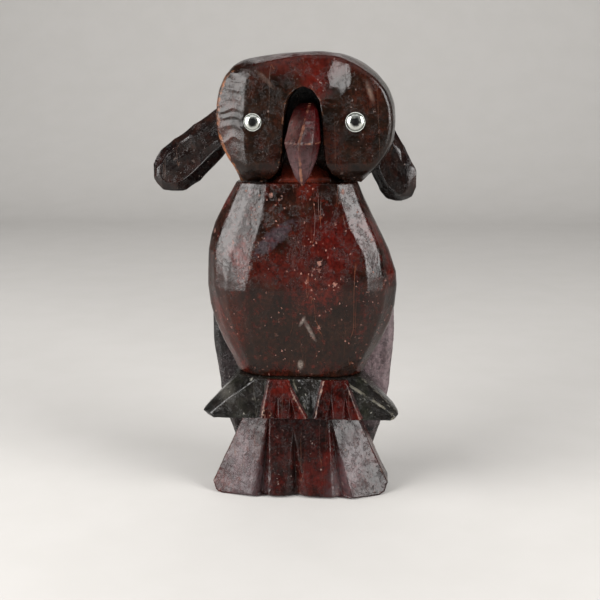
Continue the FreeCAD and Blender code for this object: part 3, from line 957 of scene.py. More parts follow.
@dataclass
class Torso:
    """The body: flat carved facets that meet in a level crease across the belly.

    A station is (height share, front share, right corners, left corners). Corner shares are
    of the half width: edge of the front facet, middle bevel, outer bevel and flank. The right
    side has one facet more than the left.
    """

    handwork: Handwork = Handwork(wave=0.22, cut=0.10, chip=0.05, seed=3)
    half: float = 40.0
    shift: float = 0.5
    lean: float = 1.7
    crease: float = 0.467
    stations: tuple = (
        (0.000, 0.70, (0.36, 0.47, 0.57, 0.675), (0.40, 0.57, 0.67)),
        (0.080, 0.76, (0.41, 0.54, 0.64, 0.745), (0.46, 0.645, 0.745)),
        (0.160, 0.82, (0.455, 0.60, 0.72, 0.83), (0.52, 0.72, 0.84)),
        (0.270, 0.90, (0.50, 0.68, 0.80, 0.925), (0.60, 0.80, 0.94)),
        (0.360, 0.945, (0.525, 0.73, 0.84, 0.975), (0.65, 0.85, 0.985)),
        (0.467, 1.000, (0.545, 0.77, 0.89, 1.000), (0.70, 0.87, 1.00)),
        (0.540, 0.985, (0.52, 0.76, 0.895, 1.000), (0.69, 0.86, 0.985)),
        (0.650, 0.945, (0.485, 0.725, 0.89, 0.99), (0.655, 0.82, 0.905)),
        (0.720, 0.905, (0.45, 0.67, 0.855, 0.965), (0.57, 0.765, 0.835)),
        (0.786, 0.855, (0.42, 0.625, 0.80, 0.925), (0.49, 0.70, 0.765)),
        (0.900, 0.745, (0.375, 0.555, 0.715, 0.81), (0.405, 0.59, 0.645)),
        (1.000, 0.640, (0.345, 0.505, 0.635, 0.70), (0.35, 0.51, 0.56)),
    )

    def build(self) -> bpy.types.Object:
        """Carve the torso.

        Ring corners follow straight lines between stations, softened at each station.

        Returns:
            The torso.
        """
        low, high = box_mm("torso")
        half, tall, front, back = self.half, high[2] - low[2], -low[1], high[1]
        heights = low[2] + tall * np.array([s[0] for s in self.stations])
        corners = []
        for up, ahead, right, left in self.stations:
            face = -front * ahead
            # depths are shares of the front's: bevels 0.88, 0.74 and 0.66, flanks 0.28
            ring = np.array((
                (-half * right[0], face), (half * left[0], face), (half * left[1], face * 0.74),
                (half * left[2], face * 0.28), (half * left[2] * 0.95, back),
                (-half * right[3] * 0.95, back), (-half * right[3], face * 0.28),
                (-half * right[2], face * 0.66), (-half * right[1], face * 0.88),
            ))
            ring[:, 0] += self.shift + self.lean * up
            corners.append(ring)
        rows = rows_between(list(heights), 0.42, 0.7)
        track = soft_track(rows, heights, np.array(corners), 0.45)
        points = at_heights(track, rows)
        radius = (0.8, 0.9, 1.2, 2.0, 1.6, 1.6, 2.0, 1.2, 0.8)
        worn = (0.35, 0.35, 0.45, 0.6, 0.7, 0.7, 0.6, 0.5, 0.2)
        carving = ring_through(points, radius, (70, 22, 18, 26, 70, 26, 18, 14, 16), worn)
        crease = low[2] + tall * self.crease
        carving.edge[:] = np.minimum(carving.edge, np.abs(rows - crease)[:, None] + UNWORN * 0.6)
        round_rims(carving, rows, 0.7)
        self.handwork.apply(carving)
        keep_inside(carving, low, high)
        return make_object(
            "torso_carved", close_ends(carving), "owl", ["torso"], BODY_LACQUER.make()
        )


@dataclass
class Head:
    """The head: a thick block with a bevelled face and an arched recess for the beak.

    Three curves run side by side from the owl's right over the crown to its left: the rim,
    the edge of the flat of the face, and the arch. A point is (across, up), in millimetres
    from the middle and from the underside of the head.
    """

    handwork: Handwork = Handwork(wave=0.22, cut=0.16, chip=0.10, seed=31)
    middle: float = 2.1
    rim: Pairs = (
        (-27.0, 0.0), (-29.6, 4.9), (-33.3, 10.0), (-36.1, 16.1), (-37.6, 23.0), (-37.5, 31.0),
        (-36.1, 37.8), (-33.6, 43.0), (-29.8, 46.7), (-24.4, 49.0), (-14.2, 50.7), (-2.0, 51.9),
        (7.0, 52.1), (16.3, 50.9), (23.4, 48.0), (30.1, 43.2), (34.9, 37.3), (37.2, 31.0),
        (37.7, 24.0), (36.9, 17.1), (34.1, 10.9), (30.0, 5.6), (26.3, 2.2), (24.0, 0.0),
    )
    flat: Pairs = (
        (-18.5, 0.4), (-20.6, 3.4), (-21.6, 8.0), (-22.2, 15.0), (-22.4, 22.0), (-22.3, 30.0),
        (-22.0, 36.8), (-21.2, 41.6), (-19.4, 45.2), (-15.4, 47.4), (-8.0, 48.9), (0.0, 49.9),
        (6.8, 50.2), (15.3, 49.5), (22.1, 46.9), (28.7, 42.4), (33.4, 36.7), (35.8, 30.6),
        (36.3, 23.9), (35.5, 17.3), (32.7, 11.2), (28.8, 6.1), (25.1, 2.7), (22.0, 0.4),
    )
    arch_at: tuple[float, ...] = (
        0.0, 0.04, 0.08, 0.13, 0.19, 0.26, 0.36, 0.44, 0.51, 0.58, 0.66, 0.75, 0.81, 0.86, 0.92, 0.965, 1.0,
    )
    arch: Pairs = (
        (-17.0, 0.0), (-12.6, 1.6), (-8.9, 5.4), (-7.2, 11.6), (-6.7, 19.6), (-6.4, 27.4),
        (-5.2, 33.6), (-2.0, 37.4), (1.2, 38.6), (4.6, 37.2), (7.4, 33.2), (8.5, 26.2),
        (8.9, 19.6), (9.1, 14.3), (10.0, 8.4), (12.8, 3.2), (18.6, 0.0),
    )
    rim_ahead: float = 10.0
    recess_floor: float = -4.0
    right_slope: float = 3.6
    right_ahead: float = 3.4
    bib_height: float = 7.0
    bib_ahead: float = 8.0
    eye_dip: float = 0.5
    eye_dip_reach: float = 6.0
    ridge_spacing: float = 4.3
    ridge_height: float = 0.50

    def relief(self, points: Array, base: float) -> Array:
        """How far the face lies behind its flat.

        The forehead is the deepest of three planes: one that slopes up from the upper edge of
        the right lobe, one that slopes in from the left lobe, and one for the brow. The eyes
        sit in shallow dips, and the chin curves back.

        Args:
            points: Surface positions in millimetres.
            base: Height of the head's underside.

        Returns:
            The push backwards, in millimetres.
        """
        across, up = points[..., 0] - self.middle, points[..., 2] - base
        # from (-15.6, 43.0) the right lobe falls back 0.36 per mm, up and a little inwards
        right_lobe = np.clip((across + 15.6) * 0.455 + (up - 43.0) * 0.89, 0, 12) * 0.36
        # above the eyes the left lobe falls back 0.40 per mm inwards from 17.8 mm off the middle
        high = np.clip((up - 33.0) / 6.0, 0, 1)
        high = high * high * (3 - 2 * high)
        left_lobe = np.clip(17.8 - across, 0, 30.0) * 0.40 * high
        left_lobe += np.clip(up - 36.0, 0, 14) * 0.19 * high * np.clip((20.0 - across) / 2.0, 0, 1)
        brow = np.clip(up - 42.0, 0, 12) * 0.20
        # the chin curves back below 9 mm up, and the left cheek from 28 mm off the middle
        chin = np.minimum(np.clip(9.0 - up, 0, 9) ** 2 * 0.12, 8.5)
        rounding = np.clip(across - 28.0, 0, 12) ** 2 * 0.003
        dips = np.zeros(across.shape)
        for side in Side:
            eye = sum(box_mm(side.named("eye_glass"))) / 2
            reach = np.hypot(points[..., 0] - eye[0], points[..., 2] - eye[2])
            dips += self.eye_dip * np.clip(1 - reach / self.eye_dip_reach, 0, 1)
        return np.maximum(np.minimum(right_lobe, left_lobe), brow) + chin + rounding + dips

    def chatter(self, points: Array, base: float, ahead: Array) -> Array:
        """How far the gouge's chatter marks on the right bevel push the surface back.

        They are the ridges of an absolute sine that climbs the bevel, bent and made uneven by
        noise, and they fade at the bevel's sides and foot.

        Args:
            points: Surface positions in millimetres.
            base: Height of the head's underside.
            ahead: How much each point belongs to the face, from 0 to 1.

        Returns:
            The push backwards, in millimetres.
        """
        across, up = points[..., 0] - self.middle, points[..., 2] - base
        bent = 0.9 * unevenness(points, (8.0, 8.0, 7.0), 77)
        phase = (up + across * 0.28) / self.ridge_spacing + bent
        uneven = 0.65 + 0.35 * unevenness(points, (9.0, 9.0, 5.0), 78)
        ridges = (np.abs(np.sin(math.pi * phase)) - 0.6) * uneven
        bevel = np.clip((-22.6 - across) / 1.5, 0, 1) * np.clip((across + 33.5) / 2.0, 0, 1)
        bevel = bevel * np.sqrt(ahead)
        return self.ridge_height * ridges * bevel * np.clip((up - 6.0) / 5.0, 0, 1)

    def placed(self, curve: Array, depth: float, base: float) -> Array:
        """Place a curve of the face in space.

        Args:
            curve: Points as (across, up), shape (count, 2).
            depth: Their Y, in millimetres.
            base: Height of the head's underside.

        Returns:
            Positions, shape (count, 3).
        """
        across, up = curve[:, 0] + self.middle, curve[:, 1] + base
        return np.stack([across, np.full(len(curve), depth), up], axis=1)

    def build(self) -> bpy.types.Object:
        """Carve the head.

        Each row is a closed loop: along the side, over the bevel, across the face to the
        arch, down the wall of the recess, down its floor, and back under and behind.

        Returns:
            The head.
        """
        low, high = box_mm("head")
        base, front, back = low[2], low[1], high[1]
        along = np.linspace(0, 1, 400)
        even = np.linspace(0, 1, len(self.rim))
        rim = soft_track(along, even, np.array(self.rim), 0.012)
        flat = soft_track(along, even, np.array(self.flat), 0.012)
        arch = soft_track(along, np.array(self.arch_at), np.array(self.arch), 0.012)
        foot = np.stack([arch[:, 0], np.zeros(len(along))], axis=1)
        bib = np.stack([arch[:, 0], np.minimum(arch[:, 1], self.bib_height)], axis=1)
        right = np.clip((-rim[:, 0] - 20.0) / 12.0, 0, 1)
        front_rim = rim + np.stack([right * self.right_slope, np.zeros(len(along))], axis=1)

        floor = self.recess_floor
        curves = (
            (rim, back), (front_rim, -self.rim_ahead), (flat, front), (arch, front),
            (arch, floor), (bib, floor), (foot, floor), (foot, back),
        )
        loop = np.stack([self.placed(curve, depth, base) for curve, depth in curves], axis=1)
        loop[:, 1, 1] -= self.right_ahead * right
        loop[:, 6, 1] -= self.bib_ahead * np.clip(arch[:, 1] / 6.0, 0, 1)
        radius = np.tile([1.8, 2.0, 2.4, 0.9, 0.4, 2.0, 0.4, 1.0], (len(along), 1))
        side = np.clip((0.34 - along) / 0.06, 0, 1)
        radius[:, 2] -= 1.2 * side
        radius[:, 1] -= 1.0 * side
        worn = np.tile([0.55, 0.86, 0.0, 0.90, 0.0, 0.0, 0.0, 0.3], (len(along), 1))
        worn[:, 1] += 0.14 * side
        carving = ring_through(loop, radius, (24, 18, 44, 18, 10, 12, 10, 30), worn, bend=6)
        points = carving.points
        ahead = np.clip((-points[..., 1] - self.rim_ahead) / 8.0, 0, 1)
        points[..., 1] += ahead * self.relief(points, base)
        points[..., 1] += self.chatter(points, base, ahead)
        self.handwork.apply(carving)
        keep_inside(carving, low, high)
        return make_object(
            "head_carved", carving, "owl", ["head"], HEAD_LACQUER.make()
        )


@dataclass
class Beak:
    """The beak: a ridge down to a knee, then cut back to a point over the breast.

    A station is the height above the head's underside, then six corners as (across, ahead).
    """

    handwork: Handwork = Handwork(
        wave=0.12, wave_cell=(4.0, 4.0, 6.0), cut=0.08, cut_cell=(3.0, 3.0, 5.0), chip=0.08, seed=51
    )
    middle: float = 2.75
    stations: tuple = (
        (0.35, ((0.3, 24.0), (0.75, 23.8), (1.0, 23.2), (0.9, 22.4), (0.0, 22.4), (-0.1, 23.4))),
        (3.6, ((0.0, 25.2), (2.0, 24.7), (3.2, 22.6), (3.0, 18.5), (-2.3, 18.5), (-2.6, 23.2))),
        (9.8, ((-0.2, 27.0), (3.6, 26.0), (5.8, 21.8), (5.6, 12.0), (-4.6, 12.0), (-4.9, 22.8))),
        (16.6, ((-0.4, 29.0), (5.0, 26.6), (7.2, 21.0), (7.2, 4.3), (-6.3, 4.3), (-6.5, 23.0))),
        (17.4, ((-0.4, 29.0), (5.1, 26.6), (7.3, 20.8), (7.3, 4.3), (-6.4, 4.3), (-6.5, 22.8))),
        (25.6, ((1.7, 24.2), (5.5, 22.2), (6.9, 17.4), (6.9, 4.3), (-4.3, 4.3), (-4.7, 18.6))),
        (29.6, ((2.4, 20.6), (5.0, 19.2), (6.2, 15.6), (6.2, 4.3), (-2.9, 4.3), (-3.3, 15.8))),
        (32.0, ((3.0, 14.0), (4.4, 13.2), (5.0, 11.0), (5.0, 4.3), (-1.0, 4.3), (-1.4, 11.0))),
    )

    def build(self) -> bpy.types.Object:
        """Carve the beak from its stations, with softened corners.

        Returns:
            The beak.
        """
        low, high = box_mm("beak")
        base = box_mm("head")[0][2]
        heights = base + np.array([s[0] for s in self.stations])
        corners = np.array([s[1] for s in self.stations]) * (1.0, -1.0) + (self.middle, 0.0)
        rows = rows_between(list(heights), 0.22, 0.3)
        track = soft_track(rows, heights, corners, 0.22)
        points = at_heights(track, rows)
        worn = (1.0, 0.2, 0.3, 0.0, 0.0, 0.9)
        radius = (0.4, 0.7, 0.7, 0.5, 0.5, 0.6)
        carving = ring_through(points, radius, (18, 18, 34, 20, 34, 20), worn)
        knee = (heights[3] + heights[4]) / 2
        carving.edge[:] = np.minimum(carving.edge, np.abs(rows - knee)[:, None] * 0.8)
        self.handwork.apply(carving)
        keep_inside(carving, low, high)
        return make_object(
            "beak_carved", close_ends(carving), "owl", ["beak"], BEAK_LACQUER.make()
        )


@dataclass
class Ear:
    """A paddle-shaped ear with a blunt end and long bevels round its face.

    The outline is (along, across), as shares of the ear's reach and half width, and is
    stretched a little. A level is (depth, inset) of the bevel, in millimetres.
    """

    side: Side
    droop: float
    reach: float
    half: float
    outline: Pairs = (
        (-0.13, -0.38), (-0.06, -0.70), (0.40, -0.87), (0.66, -1.0), (0.81, -0.95), (0.89, -0.80),
        (0.985, -0.33), (1.0, 0.05), (0.985, 0.38), (0.915, 0.74), (0.84, 0.92), (0.745, 1.0),
        (0.59, 1.0), (0.30, 0.86), (-0.06, 0.70), (-0.13, 0.38),
    )
    levels: Pairs = (
        (0.0, 4.0), (0.9, 3.2), (2.6, 1.5), (4.2, 0.0), (5.6, 0.0), (6.9, 0.5), (7.7, 1.4), (8.0, 2.2),
    )
    stretch: tuple[float, float] = (1.015, 1.07)
    thickness: float = 8.0
    handwork: Handwork = Handwork(
        wave=0.4, wave_cell=(8, 6, 6), cut=0.9, cut_cell=(8.0, 6.0, 6.0), chip=0.15
    )

    def build(self) -> bpy.types.Object:
        """Carve the ear from face to back, then turn it to its resting droop.

        Each level repeats the outline at one depth, drawn in by the level's bevel.

        Returns:
            The ear.
        """
        name = self.side.named("ear")
        low, high = box_mm(name)
        peg = sum(box_mm(self.side.named("ear_peg"))) / 2
        depths, insets = np.array(self.levels).T
        rows = rows_between(list(depths), 0.16, 0.2)
        inset = soft_track(rows, depths, insets, 0.12)
        shape = np.array(self.outline) * (self.reach * self.stretch[0], self.half * self.stretch[1])
        centre = self.reach * 0.44
        along = centre + (shape[None, :, 0] - centre) * (1 - inset[:, None] / (self.reach * 0.56))
        across = shape[None, :, 1] * (1 - inset[:, None] / self.half)
        depth = np.broadcast_to(rows[:, None], along.shape)
        loop = np.stack([along, depth, across], axis=2)
        straight = (4, 10, 70, 40, 22, 14, 12, 10, 10, 10, 10, 12, 14, 50, 60, 6)
        carving = close_ends(ring_through(loop, np.full(16, 0.9), straight, 0.2))
        replace(self.handwork, seed=self.side.pick(71, 91)).apply(carving)
        carving.points[..., 1] = np.clip(carving.points[..., 1], 0.02, self.thickness - 0.02)
        x, y, z = (carving.points[..., axis] for axis in range(3))
        angle, flip = math.radians(self.droop), self.side.value
        carving.points = np.stack([
            peg[0] + flip * (x * math.cos(angle) + z * math.sin(angle)),
            low[1] + y,
            peg[2] - x * math.sin(angle) + z * math.cos(angle),
        ], axis=2)
        keep_inside(carving, low, high)
        return make_object(
            f"{name}_carved", carving, f"{name}_body", [name], EAR_LACQUER.make()
        )


@dataclass
class EarPeg:
    """A round-headed wooden peg that holds one ear to the back of the head."""

    side: Side
    dome: float = 2.4
    brim: float = 0.75

    def build(self) -> bpy.types.Object:
        """Turn the peg: a straight shank, and a head whose dome is a quarter of an ellipse.

        Returns:
            The peg.
        """
        name = self.side.named("ear_peg")
        low, high = box_mm(name)
        head = (high[0] - low[0]) / 2
        shank = head / 2
        start = high[1] - self.dome
        angle = np.linspace(0, math.pi / 2, 12)[:-1]
        tall = self.dome - self.brim
        cap = [(head * math.cos(a), start + self.brim + tall * math.sin(a)) for a in angle]
        profile = [(0.2, low[1]), (shank, low[1]), (shank, start), (head - 0.25, start)]
        profile += [(head, start + 0.2)] + cap
        profile.append((0.25, high[1]))
        centre = np.array([(low[0] + high[0]) / 2, 0.0, (low[2] + high[2]) / 2])
        carving = turned(profile, centre)
        carving.points[..., 0] += 0.06 * unevenness(carving.points, (2.0, 2.0, 2.0), 5)
        return make_object(
            f"{name}_turned", carving, "owl", [name], PEG_WOOD.make()
        )


@dataclass
class Eye:
    """A domed glass eye with a silvered back and a black pin through its middle."""

    side: Side
    radius: float
    pupil: float
    sunk: float = 0.5
    bulge: float = 1.4

    def build(self) -> list[bpy.types.Object]:
        """Turn the glass, its silvering and the pin.

        The dome is half an ellipse: its height at radius r is the bulge times
        sqrt(1 - (r / R)^2). A shape is a list of (radius, Y) round the eye's middle.

        Returns:
            The three pieces.
        """
        low, high = box_mm(self.side.named("eye_glass"))
        centre = np.array([(low[0] + high[0]) / 2, 0.0, (low[2] + high[2]) / 2])
        front, face = low[1] + self.sunk, low[1] + self.sunk + self.bulge
        wide, rim = self.radius, self.radius * 1.06
        dome = [
            (wide * a, face - (face - front) * math.sqrt(max(1 - a * a, 0)))
            for a in np.linspace(0.02, 1, 26)
        ]
        dome[-1] = (wide, face + 0.1)
        back = [(wide * 0.97, face + 0.5), (wide * 0.5, face + 0.8), (0.05, face + 0.8)]
        cup = [
            (0.05, face + 1.35), (rim, face + 1.35), (rim * 1.01, face - 0.25),
            (rim * 0.99, face - 0.36), (wide * 1.005, face - 0.2), (wide * 0.99, face + 0.5),
            (wide * 0.6, face + 0.95), (0.05, face + 1.1),
        ]
        pin = [
            (0.05, face + 1.1), (self.pupil * 0.96, face + 1.1), (self.pupil, face + 0.2),
            (self.pupil * 0.97, front - 0.35), (self.pupil * 0.8, front - 0.48), (0.05, front - 0.5),
        ]
        bowl = turned(dome + back, centre)
        bowl.edge[:] = np.hypot(bowl.points[..., 0] - centre[0], bowl.points[..., 2] - centre[2])
        stem, glass, pupil = (self.side.named(part) for part in ("eye", "eye_glass", "eye_pupil"))
        parts = (
            (f"{stem}_glass_dome", bowl, "eye_glass", [glass], EyeGlass()),
            (f"{stem}_silvering", turned(cup, centre), "eye_glass", [], EyeSilvering()),
            (f"{stem}_pin", turned(pin, centre, 48), "pupil_black", [pupil], PinBlack()),
        )
        return [
            make_object(name, shape, "owl", nodes, finish.make())
            for name, shape, slot, nodes, finish in parts
        ]


PERCH_HALF = 41.2  # half the perch's length, mm
PERCH_MIDDLE = 0.6  # X of its middle, mm
PERCH_LEAN = 3.5  # how far its front leans back from foot to top, mm


@dataclass
class Perch:
    """The branch: a bar with long bevelled ends, its front leaning back.

    A station is the height share, the share of the front at which the tips lie, then for each
    side the front corner, tip, flank and back corner as shares of the half length.
    """

    handwork: Handwork = Handwork(wave=0.25, cut=0.22, cut_cell=(5, 5, 4), chip=0.2, seed=111)
    half: float = PERCH_HALF
    middle: float = PERCH_MIDDLE
    lean: float = PERCH_LEAN
    sag: float = 0.8
    notch_middle: float = 5.9
    notch_half: float = 6.2
    notch_depth: float = 1.2
    stations: tuple = (
        (0.00, 0.78, (-0.86, -0.95, -0.92, -0.78), (0.955, 0.99, 0.94, 0.80)),
        (0.10, 0.78, (-0.90, -0.995, -0.94, -0.80), (0.99, 1.025, 0.96, 0.82)),
        (0.50, 0.66, (-0.70, -0.84, -0.81, -0.71), (0.745, 0.85, 0.82, 0.72)),
        (1.00, 0.50, (-0.43, -0.63, -0.64, -0.60), (0.44, 0.62, 0.63, 0.59)),
    )

    def cut_notch(self, carving: Carving, rows: Array) -> None:
        """Cut the pointed notch between the feet.

        The notch is as deep as its depth times one less the distance from its middle over its
        half width there; the half width shrinks evenly from the top to a point low down.

        Args:
            carving: The perch, changed in place.
            rows: Each row's height, in millimetres.
        """
        rise = (rows - rows[0]) / (rows[-1] - rows[0])
        width = 0.8 + self.notch_half * np.clip((rise - 0.08) / 0.8, 0, 1)
        away = np.abs(carving.points[..., 0] - self.notch_middle) / width[:, None]
        deep = self.notch_depth * np.clip(rise / 0.6, 0.25, 1)[:, None] * np.clip(1 - away, 0, 1)
        carving.points[..., 1] += deep * (carving.points[..., 1] < -12.0)
        side = np.where(away > 0.9, np.abs(away - 1.02) * width[:, None], FAR_FROM_EDGE)
        side = np.where(carving.points[..., 1] < -10.0, side, FAR_FROM_EDGE)
        carving.edge[:] = np.minimum(carving.edge, side)

    def build(self) -> bpy.types.Object:
        """Carve the perch.

        Returns:
            The perch.
        """
        low, high = box_mm("perch")
        front, back, tall = -low[1], high[1], high[2] - low[2]
        heights = low[2] + tall * np.array([s[0] for s in self.stations])
        corners = []
        for rise, tip, right, left in self.stations:
            depths = (-(front - self.lean * rise), -front * tip, -back * 0.15, back)
            shares = zip(right + left[::-1], depths + depths[::-1])
            corners.append([(self.middle + self.half * share, depth) for share, depth in shares])
        rows = rows_between(list(heights), 0.30, 0.7)
        track = soft_track(rows, heights, np.array(corners), 0.35)
        points = at_heights(track, rows)
        worn = (0.75, 0.9, 0.3, 0.3, 0.3, 0.3, 0.95, 1.0)
        carving = ring_through(points, np.full(8, 0.8), (22, 26, 22, 70, 22, 26, 22, 150), worn)
        round_rims(carving, rows, 0.5, (0.85, 0.9))
        self.cut_notch(carving, rows)
        ahead = np.clip((-13.0 - carving.points[..., 1]) / 3.0, 0, 1)
        carving.points[..., 2] -= self.sag * ahead * np.clip(1 - (rows - rows[0]) / 4.0, 0, 1)[:, None]
        self.handwork.apply(carving)
        keep_inside(carving, low - (0.0, 0.0, self.sag), high)
        return make_object(
            "perch_carved", close_ends(carving), "owl", ["perch"], PERCH_PAINT.make()
        )


@dataclass
class Foot:
    """A raised foot on the perch front, three toes parted by two V notches.

    Low and high are the foot's edges, and each notch is (low middle, high middle), as shares
    of the perch's half length.
    """

    side: Side
    low: tuple[float, float]
    high: tuple[float, float]
    notches: Pairs
    relief: float = 2.0
    flare: float = 1.0
    notch_height: float = 8.5
    notch_half: float = 0.042
    half: float = PERCH_HALF
    middle: float = PERCH_MIDDLE
    lean: float = PERCH_LEAN
    handwork: Handwork = Handwork(
        wave=0.14, wave_cell=(4, 4, 5), cut=0.12, cut_cell=(3, 3, 4), chip=0.12
    )

    def build(self) -> bpy.types.Object:
        """Carve the foot as rows of an outline that leans with the perch.

        Half a notch's width shrinks evenly to nothing at the notch's height, and its valley
        lies a share of the relief behind the toes.

        Returns:
            The foot.
        """
        name = self.side.named("foot")
        perch_low, perch_high = box_mm("perch")
        tall = perch_high[2] - perch_low[2]
        rows = rows_between([0.0, self.notch_height, tall], 0.22, 0.5)
        share = rows / tall
        wood = perch_low[1] + self.lean * share
        face = wood - self.relief * (1 - 0.3 * share)
        left = self.middle + self.half * (self.low[0] + (self.high[0] - self.low[0]) * share)
        right = self.middle + self.half * (self.low[1] + (self.high[1] - self.low[1]) * share)
        open_share = np.clip(1 - rows / self.notch_height, 0.0, 1)
        front = [np.stack([left, face], axis=1)]
        for low_middle, high_middle in self.notches:
            shift = (high_middle - low_middle) * rows / self.notch_height
            centre = self.middle + self.half * (low_middle + shift)
            width = self.half * self.notch_half * open_share + 0.05
            valley = face + self.relief * 0.9 * open_share ** 0.5 + 0.01
            front += [
                np.stack([centre - width, face], axis=1),
                np.stack([centre, valley], axis=1),
                np.stack([centre + width, face], axis=1),
            ]
        front += [
            np.stack([right, face], axis=1),
            np.stack([right + self.flare, wood + 0.4], axis=1),
            np.stack([left - self.flare, wood + 0.4], axis=1),
        ]
        flat = np.stack(front, axis=1)
        loop = at_heights(flat, rows + perch_low[2])
        count = len(self.notches)
        worn = [0.95] + [0.5, 0.0, 0.5] * count + [0.95, 0.0, 0.0]
        radius = [0.45] + [0.25, 0.15, 0.25] * count + [0.45, 0.2, 0.2]
        carving = ring_through(loop, radius, [14] + [6, 6, 12] * count + [6, 10, 6], worn, bend=4)
        round_rims(carving, rows, 0.4, (0.9, 0.2))
        replace(self.handwork, seed=self.side.pick(131, 141)).apply(carving)
        low, high = box_mm(name)
        keep_inside(carving, low - 0.2, high + 0.2)
        return make_object(
            f"{name}_carved", close_ends(carving), "owl", [name], FOOT_PAINT.make()
        )


@dataclass
class Tail:
    """The fan tail: four feathers parted by three V grooves, flat below.

    A groove is (low middle, low half width, top middle, top height share), as shares of the
    half width and of the height.
    """

    handwork: Handwork = Handwork(
        wave=0.25, wave_cell=(8, 8, 12), cut=0.20, cut_cell=(5, 5, 9), chip=0.25, seed=151
    )
    half: float = 38.6
    tall: float = 40.3
    ahead: float = 12.5
    grooves: tuple = ((-0.43, 0.085, -0.34, 0.90), (-0.03, 0.12, -0.07, 0.74), (0.49, 0.11, 0.33, 0.90))
    depth: float = 3.7
    lean: float = 8.0
    twists: tuple[float, float] = (0.33, 0.52)

    def build(self) -> bpy.types.Object:
        """Carve the tail as rows of one outline, wide at the foot and narrow at the top.

        The front leans back as it rises, and the outer feathers slope back to the sides.

        Returns:
            The tail.
        """
        half, tall, back = self.half, self.tall, box_mm("tail")[1][1]
        rows = rows_between([0.0, 4.5, tall], 0.30, 1.0)
        front = -self.ahead + self.lean * rows / tall
        edge = np.interp(rows, [0.0, 1.2, 4.5, tall], [half * 0.925, half * 0.965, half, 22.0])
        climb = np.clip(rows / (tall * self.grooves[0][3]), 0, 1)
        inner = [
            half * (abs(low_middle) + (abs(top_middle) - abs(low_middle)) * climb + low_half * (1 - climb))
            for low_middle, low_half, top_middle, _ in (self.grooves[0], self.grooves[-1])
        ]
        parts = [np.stack([-edge, front + self.twists[0] * (edge - inner[0])], axis=1)]
        for low_middle, low_half, top_middle, top_share in self.grooves:
            rise = np.clip(rows / (tall * top_share), 0, 1)
            middle = half * (low_middle + (top_middle - low_middle) * rise)
            width = half * low_half * (1 - rise) + 0.12
            valley = front + self.depth * (1 - rise) ** 0.7 + 0.02
            parts += [
                np.stack([middle - width, front], axis=1),
                np.stack([middle, valley], axis=1),
                np.stack([middle + width, front], axis=1),
            ]
        parts += [
            np.stack([edge, front + self.twists[1] * (edge - inner[1])], axis=1),
            np.stack([edge * 0.99, np.full(len(rows), back)], axis=1),
            np.stack([-edge * 0.99, np.full(len(rows), back)], axis=1),
        ]
        loop = at_heights(np.stack(parts, axis=1), rows)
        radius = [0.8] + [0.5, 0.3, 0.5] * 3 + [0.8, 1.2, 1.2]
        worn = [0.9] + [0.8, 0.0, 0.85] * 3 + [0.9, 0.4, 0.4]
        carving = ring_through(loop, radius, [30] + [9, 9, 28] * 3 + [24, 60, 24], worn)
        round_rims(carving, rows, 0.8, (0.8, 0.0))
        x, y, z = (carving.points[..., axis] for axis in range(3))
        ahead = np.clip(-y / 12.0, 0, 1) * np.clip(1 - z / 9.0, 0, 1)
        carving.points[..., 2] += 1.1 * ahead * (1 - (x / half) ** 2)
        self.handwork.apply(carving)
        keep_inside(carving, np.array([-half, -self.ahead, 0.0]), np.array([half, back, tall]))
        return make_object(
            "tail_carved", close_ends(carving), "owl", ["tail"], TAIL_LACQUER.make()
        )


@dataclass
class Wing:
    """A folded wing: a rough-hewn board that tapers to a tip behind the tail.

    A station is (height share, inner share, outer share) of the wing's height and width.
    """

    side: Side
    middle: float = 0.6
    stations: tuple = (
        (0.000, 0.42, 0.55), (0.02, 0.34, 0.66), (0.10, 0.24, 0.78), (0.20, 0.13, 0.86), (0.33, 0.015, 0.94),
        (0.50, 0.0, 0.985), (0.62, 0.0, 1.0), (0.84, 0.0, 0.98), (0.95, 0.0, 0.88), (1.0, 0.03, 0.78),
    )
    handwork: Handwork = Handwork(
        wave=0.4, wave_cell=(8, 8, 20), cut=0.8, cut_cell=(4.5, 4.5, 16.0), chip=0.2
    )

    def build(self) -> bpy.types.Object:
        """Carve the wing, with long gouge cuts down its length.

        Returns:
            The wing.
        """
        name = self.side.named("wing")
        low, high = box_mm(name)
        sign = self.side.value
        width, tall, inner = high[0] - low[0], high[2] - low[2], 0.6
        rise, near, far = np.array(self.stations).T
        heights, near, far = low[2] + tall * rise, inner + width * near, inner + width * far
        front, back = low[1], high[1]
        places = (
            (near, front), (far - 2.6, front), (far, front + 3.0), (far - 0.6, back - 2.4),
            (far - 5.0, back), (near + 1.5, back), (near, back - 1.5),
        )
        corners = np.stack([np.stack([x, np.full_like(x, y)], axis=1) for x, y in places], axis=1)
        corners[..., 0] = corners[..., 0] * sign + self.middle
        rows = rows_between(list(heights), 0.45, 1.0)
        track = soft_track(rows, heights, corners, 0.9)
        loop = at_heights(track, rows)
        worn = (0.3, 0.8, 0.9, 0.8, 0.6, 0.4, 0.4)
        carving = ring_through(loop, np.full(7, 0.9), (50, 8, 10, 10, 50, 6, 10), worn)
        round_rims(carving, rows, 0.9, (0.7, 0.7))
        replace(self.handwork, seed=self.side.pick(171, 191)).apply(carving)
        keep_inside(carving, low, high)
        return make_object(
            f"{name}_carved", close_ends(carving), "owl", [name], WING_PAINT.make()
        )


# ------------------------------------------------------------------ the studio


@dataclass(frozen=True)
class SoftBox:
    """One soft light: its bearing from the owl in degrees, distance and size in m, power in W."""

    name: str
    azimuth: float
    elevation: float
    distance: float
    size: tuple[float, float]
    power: float


